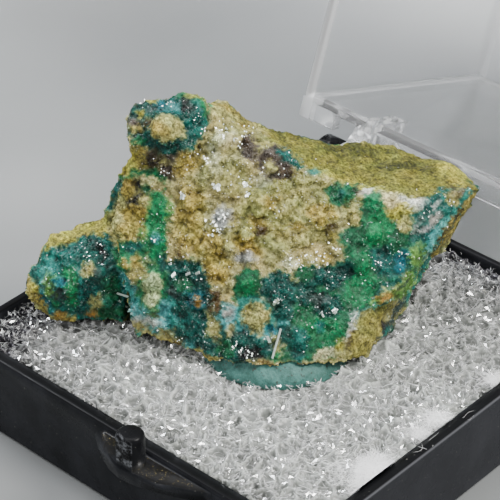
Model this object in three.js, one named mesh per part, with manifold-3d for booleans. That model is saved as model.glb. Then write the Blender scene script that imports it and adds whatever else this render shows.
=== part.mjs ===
// Caledonite specimen in a small hinged display box.
// Millimetres, +Z up. The origin is the middle of the box's underside.
// -Y is the front of the box, with its thumb ledge, and +Y is the hinge side.

import * as THREE from 'three';
import { ConvexGeometry } from 'three/addons/geometries/ConvexGeometry.js';
import { TessellateModifier } from 'three/addons/modifiers/TessellateModifier.js';
import { mergeVertices } from 'three/addons/utils/BufferGeometryUtils.js';
import Module from 'manifold-3d';

// Box
const BOX_SIDE = 31.75;
const HALF_SIDE = BOX_SIDE / 2;
const WALL = 0.95;
const CORNER_RADIUS = 0.8;
const CORNER_STEPS = 4;
const EDGE_BEVEL = 0.15;
const TRAY_HEIGHT = 6.28;
const TRAY_FLOOR = 1.0;
const GAP = 0.3;

// Lid
const LID_RIM_Z = TRAY_HEIGHT + GAP;
const LID_HEIGHT = 23.85;
const LID_TOP = 1.0;
const LID_OPEN_DEG = 110.2;

// Hinge
const HINGE_Y = 18.67;
const HINGE_Z = 5.885;
const KNUCKLE_RADIUS = 1.55;
const PIN_RADIUS = 0.6;
const PIN_HOLE_RADIUS = 0.95;
const PIN_SIDES = 12;
const PLATE_CURVE_STEPS = 8;
const KNUCKLE_WRAP_DEG = 112;
const TRAY_KNUCKLE_X = 10.9;
const TRAY_KNUCKLE_WIDTH = 1.4;
const LID_EAR_X = 9.05;
const LID_EAR_WIDTH = 1.5;
const LID_EAR_TOP = 11.5;
const EAR_CURVE_START_DEG = 36;
const EAR_CURVE_OUT = 0.2;
const EAR_CURVE_DROP = 1.6;
const FLANGE_REACH = 1.1;
const FLANGE_THICKNESS = 0.9;

// Thumb ledge and latch post
const LEDGE_TOP = 6.05;
const LEDGE_THICKNESS = 0.8;
const LEDGE_LEFT = -1.6;
const LEDGE_RIGHT = 9.1;
const LEDGE_TIP_X = 2.2;
const LEDGE_REACH = 2.2;
const LEDGE_FLARE = 1.2;
const LEDGE_SHOULDER = 0.4;
const LEDGE_STEPS = 10;
const LIP_THICKNESS = 0.8;
const POST_X = 2.45;
const POST_Y = -17.15;
const POST_RADIUS = 0.95;
const POST_TOP = 8.6;
const POST_ROUNDING = 0.35;
const POST_SIDES = 14;
const POST_BREAK = 0.71;
const POST_CLEARANCE = 0.35;

// Foam and putty
const FOAM_TOP = 6.25;
const FOAM_HALF = HALF_SIDE - WALL - GAP;
const PUTTY_FOOT = FOAM_TOP + GAP;
const PUTTY_CENTRE = new THREE.Vector3(-0.4, -2.45, 5.9);
const PUTTY_RADII = new THREE.Vector3(5.6, 5.3, 2.1);
const PUTTY_SEGMENTS = 24;

// Specimen. Its own axes lie across the box: u runs along its length,
// v goes from the display face to the back, and w is height.
const DIAGONAL_TURN_DEG = 42.1;
const FACE_FOOT = new THREE.Vector3(0, -5.8, 7.3);
const FACE_UP = new THREE.Vector3(0, 0.585, 0.811);
const FACE_INWARD = new THREE.Vector3(0, 0.811, -0.585);
const FACE_CLEARANCE = 12;
const LONGEST_EDGE = 2.0;
const SPLIT_ROUNDS = 12;
const NOISE_LAYERS = [
  { size: 4.2, reach: 0.26 },
  { size: 1.9, reach: 0.18 },
];

// Corners of the five blocks that make up the rock, as [u, v, w]
const BODY_CORNERS = [
  [-9.7, -1.8, 6.9], [-7.4, -3.2, 7.0], [-5.2, -4.6, 7.1], [-1.8, -6.0, 7.6], [1.1, -5.8, 7.5],
  [4.1, -5.1, 7.1], [5.3, -4.2, 6.8], [7.4, -0.8, 6.9], [9.2, 2.2, 7.9],
  [-10.0, -0.9, 9.8], [-11.0, -0.4, 11.7], [-11.4, 1.0, 14.4], [-10.9, 1.6, 16.1],
  [-9.9, 2.2, 18.0], [-5.2, 3.0, 20.6], [-2.5, 3.2, 19.7], [-0.2, 2.8, 18.4], [2.3, 1.9, 16.9],
  [4.5, 1.7, 16.4], [5.4, -3.5, 10.0], [6.3, -2.9, 10.7], [7.4, -2.2, 11.2],
  [-4.2, 5.3, 20.1], [-1.2, 6.8, 17.2], [1.6, 8.0, 15.9], [4.8, 8.4, 15.2], [7.4, 8.8, 15.0],
  [-9.6, 5.6, 17.4], [-10.6, 5.2, 12.0], [-9.8, 5.4, 7.0], [-3.0, 8.6, 6.8], [3.6, 9.2, 7.0],
  [8.6, 7.2, 8.6],
];
const FLANK_CORNERS = [
  [7.1, 1.0, 15.6], [8.7, 0.7, 15.3], [10.4, 1.8, 15.8], [13.2, 3.2, 15.1], [13.3, 3.9, 14.6],
  [13.2, 5.5, 14.0], [12.3, 7.0, 14.0], [10.1, 8.4, 14.3], [7.2, 8.8, 15.0], [4.5, 7.6, 15.4],
  [4.5, 1.8, 16.2], [8.6, 0.0, 14.4], [8.7, -0.7, 13.3], [8.5, -1.4, 12.4], [7.4, -2.3, 11.0],
  [12.4, 3.6, 13.0], [11.2, 3.2, 10.7], [9.2, 2.2, 8.0], [6.4, -0.6, 8.2], [9.6, 7.2, 10.0],
  [4.0, 4.0, 9.0],
];
const LOBE_CORNERS = [
  [-17.5, 0.4, 9.0], [-16.8, 0.4, 7.7], [-15.8, 0.2, 6.8], [-14.6, 0.0, 6.7], [-12.7, -0.3, 6.8],
  [-11.0, -0.5, 7.1], [-16.2, 1.8, 11.0], [-15.7, 2.6, 11.7], [-14.0, 3.4, 11.8], [-12.4, 3.4, 12.4],
  [-11.0, 3.2, 13.2], [-14.9, -0.6, 9.6], [-12.8, -1.0, 11.1], [-13.5, 0.6, 12.0],
  [-16.0, 4.2, 9.6], [-14.4, 5.2, 7.2], [-12.0, 5.8, 10.6], [-9.6, 4.0, 7.0], [-9.6, 4.4, 11.6],
  [-10.2, 0.2, 11.2],
];
const SHOULDER_CORNERS = [
  [-12.4, 2.8, 12.2], [-11.9, 3.6, 13.3], [-11.3, 2.4, 15.9], [-10.4, 2.4, 17.9], [-9.2, 1.4, 15.0],
  [-9.4, 5.2, 16.0], [-10.6, 5.2, 12.4], [-8.6, 2.4, 11.6],
];
const KNOB_CORNERS = [
  [-10.0, 3.2, 20.7], [-9.7, 3.4, 21.2], [-8.9, 3.6, 21.7], [-7.7, 3.8, 21.8], [-6.5, 4.2, 21.9],
  [-5.6, 4.4, 21.4], [-5.0, 3.4, 21.1], [-5.2, 2.2, 19.9], [-6.1, 1.2, 19.4], [-8.7, 1.4, 19.2],
  [-9.9, 2.0, 19.6], [-7.4, 1.5, 21.0], [-10.2, 2.6, 17.6], [-6.0, 3.2, 16.4], [-9.4, 5.4, 18.4],
  [-6.2, 5.8, 19.6], [-8.0, 1.6, 17.6],
];

// Rounded lumps of the crust on the display face: place along it, height up it, radius
const LUMPS = [
  [4.6, 10.0, 0.8], [-1.4, 10.5, 0.9], [0.5, 10.5, 0.75], [1.1, 11.7, 0.6], [2.3, 9.4, 0.85],
  [1.3, 8.2, 0.7], [3.4, 7.8, 0.85], [-2.3, 8.6, 0.7], [-0.9, 12.8, 0.6], [-6.1, 10.5, 0.7],
  [-5.6, 9.1, 0.7], [-5.1, 7.6, 0.7], [-3.7, 7.9, 0.75], [-6.6, 7.7, 0.6], [-4.5, 6.3, 0.65],
  [-3.5, 5.3, 0.55], [-4.4, 4.4, 0.4], [-5.7, 4.3, 0.45], [-12.7, 6.3, 0.6], [-14.3, 5.0, 0.75],
  [-12.0, 4.2, 0.65], [-8.6, 5.6, 0.85], [-8.6, 4.1, 0.85], [-2.3, 5.6, 0.95], [-1.8, 3.0, 1.0],
  [-2.2, 7.0, 0.65], [-10.3, 6.8, 0.7], [-7.0, 5.2, 0.55], [-10.6, 9.2, 0.85], [-7.8, 15.2, 1.1],
  [6.6, 4.4, 0.5], [8.6, 7.3, 0.7], [5.9, 8.6, 0.85], [5.0, 6.8, 1.0], [7.3, 8.0, 0.65],
  [6.1, 5.4, 0.7], [2.4, 5.7, 0.6], [1.6, 4.2, 0.65], [3.2, 2.9, 0.75], [1.0, 1.9, 0.75],
  [-8.0, 2.6, 0.65], [-14.1, 6.8, 0.6], [-15.3, 6.1, 0.65], [0.3, 6.8, 0.6], [-3.4, 11.6, 0.85],
  [-4.2, 14.7, 0.85], [-2.5, 13.2, 0.75], [-4.9, 12.9, 0.75],
];
const LUMP_SINK = 0.35;
const ROUND_LUMP_RADIUS = 0.8;

// Flat-faced crystals: place along the face, height up it, length, radius, turn and tilt in degrees
const CRYSTALS = [
  [-10.6, 4.8, 1.3, 0.16, -78, 20], [-7.1, 5.9, 0.7, 0.22, -60, 35], [-6.3, 6.0, 0.6, 0.2, 30, 50],
  [-5.6, 6.1, 0.6, 0.18, -30, 45], [-0.4, 1.6, 2.0, 0.17, 14, 14], [-1.2, 1.5, 0.7, 0.24, 60, 55],
  [-0.5, 4.2, 0.7, 0.2, 25, 60], [3.3, 3.3, 0.8, 0.22, 20, 50], [5.1, 7.9, 0.7, 0.2, -40, 60],
  [6.7, 6.3, 0.6, 0.18, 50, 50], [-9.7, 3.7, 0.9, 0.17, 70, 30], [-6.5, 11.2, 0.6, 0.25, 0, 60],
  [-14.9, 6.9, 0.8, 0.16, 35, 40], [-15.8, 7.4, 0.7, 0.15, 10, 50],
];
const CRYSTAL_SINK = 0.3;

const MERGE_DISTANCE = 1e-4;

const wasm = await Module();
wasm.setup();

function positionsOnly(geometry) {
  const bare = geometry.clone();
  bare.deleteAttribute('normal');
  bare.deleteAttribute('uv');
  return bare;
}

// Turn a closed geometry into a solid
function solidOf(geometry) {
  const merged = mergeVertices(positionsOnly(geometry), MERGE_DISTANCE);
  return new wasm.Manifold(new wasm.Mesh({
    numProp: 3,
    vertProperties: new Float32Array(merged.attributes.position.array),
    triVerts: new Uint32Array(merged.index.array),
  }));
}

// Turn a solid back into a geometry with flat shading
function geometryOf(solid) {
  const mesh = solid.getMesh();
  const geometry = new THREE.BufferGeometry();
  geometry.setAttribute('position', new THREE.BufferAttribute(new Float32Array(mesh.vertProperties), 3));
  geometry.setIndex(new THREE.BufferAttribute(new Uint32Array(mesh.triVerts), 1));
  geometry.computeVertexNormals();
  return geometry;
}

function joined(solids) {
  return solids.reduce((whole, next) => whole.add(next));
}

function node(name, solid, colour, roughness, extra = {}) {
  const material = new THREE.MeshStandardMaterial({
    color: colour,
    roughness,
    metalness: 0,
    flatShading: true,
    ...extra,
  });
  const mesh = new THREE.Mesh(geometryOf(solid), material);
  mesh.name = name;
  return mesh;
}

// A square outline with round corners
function squareOutline(half, radius) {
  const shape = new THREE.Shape();
  const inner = half - radius;
  shape.absarc(inner, inner, radius, 0, Math.PI / 2);
  shape.absarc(-inner, inner, radius, Math.PI / 2, Math.PI);
  shape.absarc(-inner, -inner, radius, Math.PI, 1.5 * Math.PI);
  shape.absarc(inner, -inner, radius, 1.5 * Math.PI, 2 * Math.PI);
  shape.closePath();
  return shape;
}

// An upright prism of an outline between two heights
function prism(outline, bottom, top, bevel = 0) {
  const geometry = new THREE.ExtrudeGeometry(outline, {
    depth: top - bottom - 2 * bevel,
    curveSegments: CORNER_STEPS,
    bevelEnabled: bevel > 0,
    bevelThickness: bevel,
    bevelSize: bevel,
    bevelOffset: -bevel,
    bevelSegments: 1,
  });
  geometry.translate(0, 0, bottom + bevel);
  return solidOf(geometry);
}

// A plate that stands across the hinge: its outline is in Y and Z, its thickness runs along X
function standingPlate(outline, xMin, width) {
  const geometry = new THREE.ExtrudeGeometry(outline, {
    depth: width,
    curveSegments: PLATE_CURVE_STEPS,
    bevelEnabled: false,
  });
  geometry.rotateZ(Math.PI / 2);
  geometry.rotateY(Math.PI / 2);
  geometry.translate(xMin, 0, 0);
  return solidOf(geometry);
}

function pinAlongX(radius, xMin, length) {
  const geometry = new THREE.CylinderGeometry(radius, radius, length, PIN_SIDES);
  geometry.rotateZ(Math.PI / 2);
  geometry.translate(xMin + length / 2, HINGE_Y, HINGE_Z);
  return solidOf(geometry);
}

function blockBetween(low, high) {
  const size = new THREE.Vector3().subVectors(high, low);
  const geometry = new THREE.BoxGeometry(size.x, size.y, size.z);
  geometry.translate(low.x + size.x / 2, low.y + size.y / 2, low.z + size.z / 2);
  return solidOf(geometry);
}

// The half-moon outline of the thumb ledge, as points from left to right
function ledgeCurve(leftX) {
  const wallY = -HALF_SIDE + WALL / 2;
  const tipY = -HALF_SIDE - LEDGE_REACH;
  const shoulderY = tipY + LEDGE_SHOULDER * LEDGE_REACH;
  const curve = new THREE.CatmullRomCurve3([
    new THREE.Vector3(leftX, wallY, 0),
    new THREE.Vector3((leftX + LEDGE_TIP_X) / 2, shoulderY, 0),
    new THREE.Vector3(LEDGE_TIP_X, tipY, 0),
    new THREE.Vector3((LEDGE_TIP_X + LEDGE_RIGHT) / 2, shoulderY, 0),
    new THREE.Vector3(LEDGE_RIGHT, wallY, 0),
  ]);
  return curve.getPoints(LEDGE_STEPS);
}

function atHeight(points, z) {
  return points.map((point) => new THREE.Vector3(point.x, point.y, z));
}

// Base tray: open box, thumb ledge with a latch post, and two hinge knuckles with pins
function thumbLedge() {
  const top = ledgeCurve(LEDGE_LEFT);
  const bottom = ledgeCurve(LEDGE_LEFT - LEDGE_FLARE);
  const points = [...atHeight(top, LEDGE_TOP), ...atHeight(bottom, LEDGE_TOP - LEDGE_THICKNESS)];
  return solidOf(new ConvexGeometry(points));
}

// A round post with a rounded top, broken away flat at the front
function latchPost() {
  const foot = LEDGE_TOP - LEDGE_THICKNESS / 2;
  const profile = new THREE.Path();
  profile.moveTo(0, foot);
  profile.lineTo(POST_RADIUS, foot);
  profile.lineTo(POST_RADIUS, POST_TOP - POST_ROUNDING);
  profile.absarc(POST_RADIUS - POST_ROUNDING, POST_TOP - POST_ROUNDING, POST_ROUNDING, 0, Math.PI / 2);
  profile.lineTo(0, POST_TOP);
  const geometry = new THREE.LatheGeometry(profile.getPoints(2), POST_SIDES);
  geometry.rotateX(Math.PI / 2);
  geometry.translate(POST_X, POST_Y, 0);
  const brokenFace = POST_Y - POST_BREAK;
  const cutter = blockBetween(
    new THREE.Vector3(POST_X - 2 * POST_RADIUS, brokenFace - POST_RADIUS, foot - GAP),
    new THREE.Vector3(POST_X + 2 * POST_RADIUS, brokenFace, POST_TOP + GAP),
  );
  return solidOf(geometry).subtract(cutter);
}

function trayKnuckle(side) {
  const outline = new THREE.Shape();
  outline.moveTo(HALF_SIDE - WALL / 2, HINGE_Z - KNUCKLE_RADIUS);
  outline.lineTo(HINGE_Y, HINGE_Z - KNUCKLE_RADIUS);
  outline.absarc(HINGE_Y, HINGE_Z, KNUCKLE_RADIUS, -Math.PI / 2, THREE.MathUtils.degToRad(KNUCKLE_WRAP_DEG));
  outline.lineTo(HALF_SIDE - WALL / 2, TRAY_HEIGHT - EDGE_BEVEL);
  outline.closePath();
  const inner = side * TRAY_KNUCKLE_X;
  const xMin = side > 0 ? inner : inner - TRAY_KNUCKLE_WIDTH;
  const pinLength = TRAY_KNUCKLE_WIDTH / 2 + GAP + LID_EAR_WIDTH;
  const pinMin = side > 0 ? inner + TRAY_KNUCKLE_WIDTH / 2 - pinLength : inner - TRAY_KNUCKLE_WIDTH / 2;
  return standingPlate(outline, xMin, TRAY_KNUCKLE_WIDTH).add(pinAlongX(PIN_RADIUS, pinMin, pinLength));
}

function baseTray() {
  const outside = prism(squareOutline(HALF_SIDE, CORNER_RADIUS), 0, TRAY_HEIGHT, EDGE_BEVEL);
  const cavity = prism(squareOutline(HALF_SIDE - WALL, CORNER_RADIUS / 2), TRAY_FLOOR, TRAY_HEIGHT + 1);
  const grown = joined([outside, thumbLedge(), latchPost(), trayKnuckle(1), trayKnuckle(-1)]);
  return grown.subtract(cavity);
}

// Lid, made closed and then turned open about the hinge
function lidEar(side) {
  const outline = new THREE.Shape();
  const wallY = HALF_SIDE - WALL / 2;
  outline.moveTo(wallY, LID_RIM_Z);
  outline.lineTo(HALF_SIDE + GAP, LID_RIM_Z);
  outline.lineTo(HINGE_Y - KNUCKLE_RADIUS, HINGE_Z);
  const curveStart = THREE.MathUtils.degToRad(360 + EAR_CURVE_START_DEG);
  outline.absarc(HINGE_Y, HINGE_Z, KNUCKLE_RADIUS, Math.PI, curveStart);
  outline.quadraticCurveTo(HINGE_Y + EAR_CURVE_OUT, LID_EAR_TOP - EAR_CURVE_DROP, wallY, LID_EAR_TOP);
  outline.closePath();
  const xMin = side > 0 ? LID_EAR_X : -LID_EAR_X - LID_EAR_WIDTH;
  const hole = pinAlongX(PIN_HOLE_RADIUS, xMin - 1, LID_EAR_WIDTH + 2);
  return standingPlate(outline, xMin, LID_EAR_WIDTH).subtract(hole);
}

function lidLip() {
  const curve = ledgeCurve(LEDGE_LEFT);
  const top = LID_RIM_Z + LIP_THICKNESS;
  const lip = solidOf(new ConvexGeometry([...atHeight(curve, LID_RIM_Z), ...atHeight(curve, top)]));
  const notchHalf = POST_RADIUS + POST_CLEARANCE;
  const notch = blockBetween(
    new THREE.Vector3(POST_X - notchHalf, -HALF_SIDE - 2 * LEDGE_REACH, LID_RIM_Z - 1),
    new THREE.Vector3(POST_X + notchHalf, -HALF_SIDE, top + 1),
  );
  return lip.subtract(notch);
}

// A narrow flange along the hinge side of the rim, open where the tray's knuckles turn
function lidFlange() {
  const knuckleRoom = TRAY_KNUCKLE_X + TRAY_KNUCKLE_WIDTH + GAP;
  const spans = [
    [-HALF_SIDE, -knuckleRoom],
    [-TRAY_KNUCKLE_X + GAP, TRAY_KNUCKLE_X - GAP],
    [knuckleRoom, HALF_SIDE],
  ];
  const strips = spans.map(([xMin, xMax]) => blockBetween(
    new THREE.Vector3(xMin, HALF_SIDE - WALL / 2, LID_RIM_Z),
    new THREE.Vector3(xMax, HALF_SIDE + FLANGE_REACH, LID_RIM_Z + FLANGE_THICKNESS),
  ));
  return joined(strips);
}

function clearLid() {
  const top = LID_RIM_Z + LID_HEIGHT;
  const outside = prism(squareOutline(HALF_SIDE, CORNER_RADIUS), LID_RIM_Z, top, EDGE_BEVEL);
  const inside = prism(squareOutline(HALF_SIDE - WALL, CORNER_RADIUS / 2), LID_RIM_Z - 1, top - LID_TOP);
  return joined([outside, lidLip(), lidFlange(), lidEar(1), lidEar(-1)]).subtract(inside);
}

// Smooth random value between -1 and 1 that changes over a distance of one unit
function latticeValue(x, y, z, seed) {
  const mixed = Math.sin(x * 127.1 + y * 311.7 + z * 74.7 + seed * 53.3) * 43758.5453;
  return 2 * (mixed - Math.floor(mixed)) - 1;
}

function smoothNoise(point, seed) {
  const cell = point.clone().floor();
  const inCell = point.clone().sub(cell);
  const ease = inCell.clone().multiply(inCell).multiply(inCell.clone().multiplyScalar(-2).addScalar(3));
  let sum = 0;
  for (let corner = 0; corner < 8; corner += 1) {
    const dx = corner & 1;
    const dy = (corner >> 1) & 1;
    const dz = corner >> 2;
    const weight = (dx ? ease.x : 1 - ease.x) * (dy ? ease.y : 1 - ease.y) * (dz ? ease.z : 1 - ease.z);
    sum += weight * latticeValue(cell.x + dx, cell.y + dy, cell.z + dz, seed);
  }
  return sum;
}

function roughened(point) {
  const moved = point.clone();
  NOISE_LAYERS.forEach(({ size, reach }, layer) => {
    const scaled = point.clone().divideScalar(size);
    moved.x += reach * smoothNoise(scaled, 3 * layer + 1);
    moved.y += reach * smoothNoise(scaled, 3 * layer + 2);
    moved.z += reach * smoothNoise(scaled, 3 * layer + 3);
  });
  return moved;
}

function rockBlock(corners) {
  return solidOf(new ConvexGeometry(corners.map((corner) => new THREE.Vector3(...corner))));
}

// The blocks joined, cut into small faces and shifted by smooth noise
function roughRock() {
  const blocks = [BODY_CORNERS, FLANK_CORNERS, LOBE_CORNERS, SHOULDER_CORNERS, KNOB_CORNERS].map(rockBlock);
  const splitter = new TessellateModifier(LONGEST_EDGE, SPLIT_ROUNDS);
  const fine = mergeVertices(splitter.modify(positionsOnly(geometryOf(joined(blocks)))), MERGE_DISTANCE);
  const position = fine.attributes.position;
  for (let i = 0; i < position.count; i += 1) {
    const moved = roughened(new THREE.Vector3().fromBufferAttribute(position, i));
    position.setXYZ(i, moved.x, moved.y, moved.z);
  }
  return solidOf(fine);
}

// Where a line into the display face first meets the rock
function pointOnFace(rockMesh, along, up) {
  const start = FACE_FOOT.clone().addScaledVector(FACE_UP, up);
  start.x = along;
  start.addScaledVector(FACE_INWARD, -FACE_CLEARANCE);
  const ray = new THREE.Raycaster(start, FACE_INWARD.clone().normalize());
  return ray.intersectObject(rockMesh)[0].point;
}

// A lump with few faces, turned by its place so that no two lie alike
function lump(rockMesh, [along, up, radius]) {
  const centre = pointOnFace(rockMesh, along, up).addScaledVector(FACE_INWARD, LUMP_SINK * radius);
  const geometry = new THREE.IcosahedronGeometry(radius, radius < ROUND_LUMP_RADIUS ? 0 : 1);
  geometry.rotateZ(along + up);
  geometry.translate(centre.x, centre.y, centre.z);
  return solidOf(geometry);
}

// A six-sided prism with a blunt point
function crystal(rockMesh, [along, up, length, radius, turnDeg, tiltDeg]) {
  const profile = [
    new THREE.Vector2(0, -CRYSTAL_SINK),
    new THREE.Vector2(radius, -CRYSTAL_SINK),
    new THREE.Vector2(radius, length - radius),
    new THREE.Vector2(0, length),
  ];
  const geometry = new THREE.LatheGeometry(profile, 6);
  const outward = FACE_INWARD.clone().negate();
  const acrossFace = new THREE.Vector3(1, 0, 0).applyAxisAngle(outward, Math.PI / 2);
  const lying = acrossFace.applyAxisAngle(outward, THREE.MathUtils.degToRad(turnDeg));
  const tilt = THREE.MathUtils.degToRad(tiltDeg);
  const axis = lying.multiplyScalar(Math.cos(tilt)).addScaledVector(outward, Math.sin(tilt)).normalize();
  const turn = new THREE.Quaternion().setFromUnitVectors(new THREE.Vector3(0, 1, 0), axis);
  geometry.applyQuaternion(turn);
  const foot = pointOnFace(rockMesh, along, up);
  geometry.translate(foot.x, foot.y, foot.z);
  return solidOf(geometry);
}

// Everything lower than the top of the foam, with the gap above it
function belowPutty() {
  return blockBetween(
    new THREE.Vector3(-BOX_SIDE, -BOX_SIDE, -BOX_SIDE),
    new THREE.Vector3(BOX_SIDE, BOX_SIDE, PUTTY_FOOT),
  );
}

// The putty's mound, which can be made larger all round to give the hollow that it fills
function puttyMound(larger) {
  const mound = new THREE.SphereGeometry(1, PUTTY_SEGMENTS, PUTTY_SEGMENTS / 2);
  mound.rotateX(Math.PI / 2);
  mound.scale(PUTTY_RADII.x + larger, PUTTY_RADII.y + larger, PUTTY_RADII.z + larger);
  mound.translate(PUTTY_CENTRE.x, PUTTY_CENTRE.y, PUTTY_CENTRE.z);
  return solidOf(mound);
}

// The rock with its lumps and crystals, pressed down over the putty
function specimenSolid() {
  const rock = roughRock();
  const rockMesh = new THREE.Mesh(geometryOf(rock), new THREE.MeshBasicMaterial());
  rockMesh.updateMatrixWorld();
  const lumps = LUMPS.map((entry) => lump(rockMesh, entry));
  const crystals = CRYSTALS.map((entry) => crystal(rockMesh, entry));
  return joined([rock, ...lumps, ...crystals]).subtract(belowPutty()).subtract(puttyMound(GAP));
}

function puttySolid() {
  return puttyMound(0).subtract(belowPutty());
}

function foamPad() {
  return prism(squareOutline(FOAM_HALF, CORNER_RADIUS / 2), TRAY_FLOOR + GAP, FOAM_TOP, EDGE_BEVEL);
}

const box = new THREE.Group();
box.add(node('base_tray', baseTray(), 0x1b1c1e, 0.2));
box.add(node('foam_pad', foamPad(), 0xc9cacb, 0.6));

const rested = new THREE.Group();
rested.rotation.z = THREE.MathUtils.degToRad(DIAGONAL_TURN_DEG);
rested.add(node('specimen', specimenSolid(), 0x6f8f5e, 0.7));
rested.add(node('mounting_putty', puttySolid(), 0x6aa7b0, 0.6));
box.add(rested);

const lidTurn = new THREE.Group();
lidTurn.position.set(0, HINGE_Y, HINGE_Z);
lidTurn.rotation.x = -THREE.MathUtils.degToRad(LID_OPEN_DEG);
const lid = node('lid', clearLid(), 0xe8eef0, 0.05, { transparent: true, opacity: 0.3 });
lid.position.set(0, -HINGE_Y, -HINGE_Z);
lidTurn.add(lid);
box.add(lidTurn);

export default box;
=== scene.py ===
"""A caledonite specimen on putty and foam in a small black display box with an open clear lid."""

import math

import bpy
import numpy as np
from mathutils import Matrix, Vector, noise


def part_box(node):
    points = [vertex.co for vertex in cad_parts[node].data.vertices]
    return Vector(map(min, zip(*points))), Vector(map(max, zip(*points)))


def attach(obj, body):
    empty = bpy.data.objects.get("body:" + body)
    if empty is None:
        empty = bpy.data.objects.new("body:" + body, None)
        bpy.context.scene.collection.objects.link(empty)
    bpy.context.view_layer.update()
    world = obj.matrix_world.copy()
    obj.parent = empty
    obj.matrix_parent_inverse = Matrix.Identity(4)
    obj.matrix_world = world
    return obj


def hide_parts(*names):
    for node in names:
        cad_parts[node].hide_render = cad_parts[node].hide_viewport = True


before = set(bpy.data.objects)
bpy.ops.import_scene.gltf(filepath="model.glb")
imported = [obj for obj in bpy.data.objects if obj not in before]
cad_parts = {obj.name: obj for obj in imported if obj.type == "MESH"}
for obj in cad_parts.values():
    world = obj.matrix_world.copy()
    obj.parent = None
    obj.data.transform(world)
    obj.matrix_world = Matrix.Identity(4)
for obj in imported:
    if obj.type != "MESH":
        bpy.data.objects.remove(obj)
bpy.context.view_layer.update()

# Lengths below are millimetres unless a name or a comment says otherwise
MM = 0.001

# Camera
CAMERA_PLACE = np.array([84.678, -96.927, 102.912])
CAMERA_TURN_DEG = 42.108
CAMERA_DOWN_DEG = 35.117
LENS = 170.01
SENSOR = 36.0
IMAGE_PX = 500

# Specimen
ROCK_VOXEL = 0.13
ROCK_SMOOTHING = 5
# Shift and size of the three kinds of cells that shape its grains
ROCK_CELLS = ((0, 1.15), (7, 0.6), (-7, 0.34))
# Glint of the sides that the photograph doesn't show, and half the width of a patch's soft edge
BACK_GLINT = 0.25
EDGE_PX = 3.0
SPECK_COUNT = 15000
SPECK_SIZES = (0.035, 0.12)

# Foam and fibres
FOAM_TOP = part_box("foam_pad")[1].z / MM
FOAM_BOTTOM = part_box("foam_pad")[0].z / MM
FOAM_HALF = 14.88
FOAM_REACH = FOAM_HALF - 0.2
FOAM_CELL = 0.98
FOAM_STEP = 0.105
RIM_COUNT = 6400
STRAND_COUNT = 2000
FILM_COUNT = 9000
LINT_REACH = 15.8
# Rings of corners along each thread
RIM_RINGS = 4
TORN_RINGS = 2
LINT_RINGS = 4

SEEDS = {"specks": 5, "glints": 21, "foam": 11, "strands": 12, "film": 13, "lint": 31}


def srgb(red, green, blue):
    """A colour given as it shows on a screen, 0 to 255, as linear values."""
    values = np.array([red, green, blue]) / 255
    return tuple(np.where(values <= 0.04045, values / 12.92, ((values + 0.055) / 1.055) ** 2.4))


def rgba(red, green, blue):
    return (*srgb(red, green, blue), 1)


# Colours of the mineral
COLOURS = {name: np.array(srgb(*numbers)) for name, numbers in {
    "olive": (144, 143, 68), "moss": (98, 100, 44), "hay": (164, 158, 88), "ochre": (197, 182, 104),
    "deep ochre": (173, 156, 80), "orange": (174, 140, 70), "brown": (98, 80, 44),
    "tan": (204, 197, 140), "cream": (222, 220, 174), "khaki": (186, 183, 120),
    "straw": (182, 182, 116), "pale yellow": (188, 184, 88), "white": (240, 242, 230),
    "lilac white": (188, 190, 184), "emerald": (0, 146, 94), "green": (0, 116, 80),
    "bright green": (0, 136, 90), "yellow green": (126, 172, 90), "sage": (200, 216, 164),
    "teal": (0, 116, 106), "deep teal": (0, 98, 88), "black green": (6, 100, 90), "black": (30, 30, 28),
    "sky": (106, 186, 184), "turquoise": (54, 158, 146), "blue": (26, 136, 150),
    "blue grey": (72, 94, 90), "purple brown": (104, 95, 86), "dark brown": (76, 64, 48),
}.items()}

# The colours above are how the mineral shows in strong light, and its surface is deeper by this power
COLOUR_DEPTH = 1.2
ROCK_SHADE = 0.66

# How far each kind of crust stands up, and how much it glints
CRUSTS = {
    "druse": (0.85, 0.8),
    "lumps": (1.1, 0.6),
    "grains": (0.3, 0.12),
    "velvet": (0.2, 0.58),
    "crust": (0.6, 0.7),
    "glitter": (0.85, 1.0),
}


def blob_distance(px, x, y, half_width, half_height, turn_deg=0):
    """Distance in pixels from an oval's edge, less than zero inside it."""
    cos, sin = math.cos(math.radians(turn_deg)), math.sin(math.radians(turn_deg))
    dx, dy = px[:, 0] - x, px[:, 1] - y
    along = (dx * cos + dy * sin) / half_width
    across = (dy * cos - dx * sin) / half_height
    return (np.hypot(along, across) - 1) * min(half_width, half_height)


def line_distance(px, points):
    nearest = np.full(len(px), np.inf)
    for start, end in zip(points, points[1:]):
        start, end = np.array(start, float), np.array(end, float)
        way = end - start
        share = np.clip((px - start) @ way / (way @ way), 0, 1)
        nearest = np.minimum(nearest, np.linalg.norm(px - start - share[:, None] * way, axis=1))
    return nearest


def stroke_distance(px, half_width, *points):
    return line_distance(px, points) - half_width


def area_distance(px, *points):
    inside = np.zeros(len(px), bool)
    closed = (*points, points[0])
    for (x0, y0), (x1, y1) in zip(closed, closed[1:]):
        if y0 != y1:
            crosses = (px[:, 1] < y0) != (px[:, 1] < y1)
            inside ^= crosses & (px[:, 0] < x0 + (px[:, 1] - y0) * (x1 - x0) / (y1 - y0))
    return np.where(inside, -1, 1) * line_distance(px, closed)


def blob(*numbers):
    return blob_distance, numbers


def stroke(*numbers):
    return stroke_distance, numbers


def area(*numbers):
    return area_distance, numbers


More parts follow.
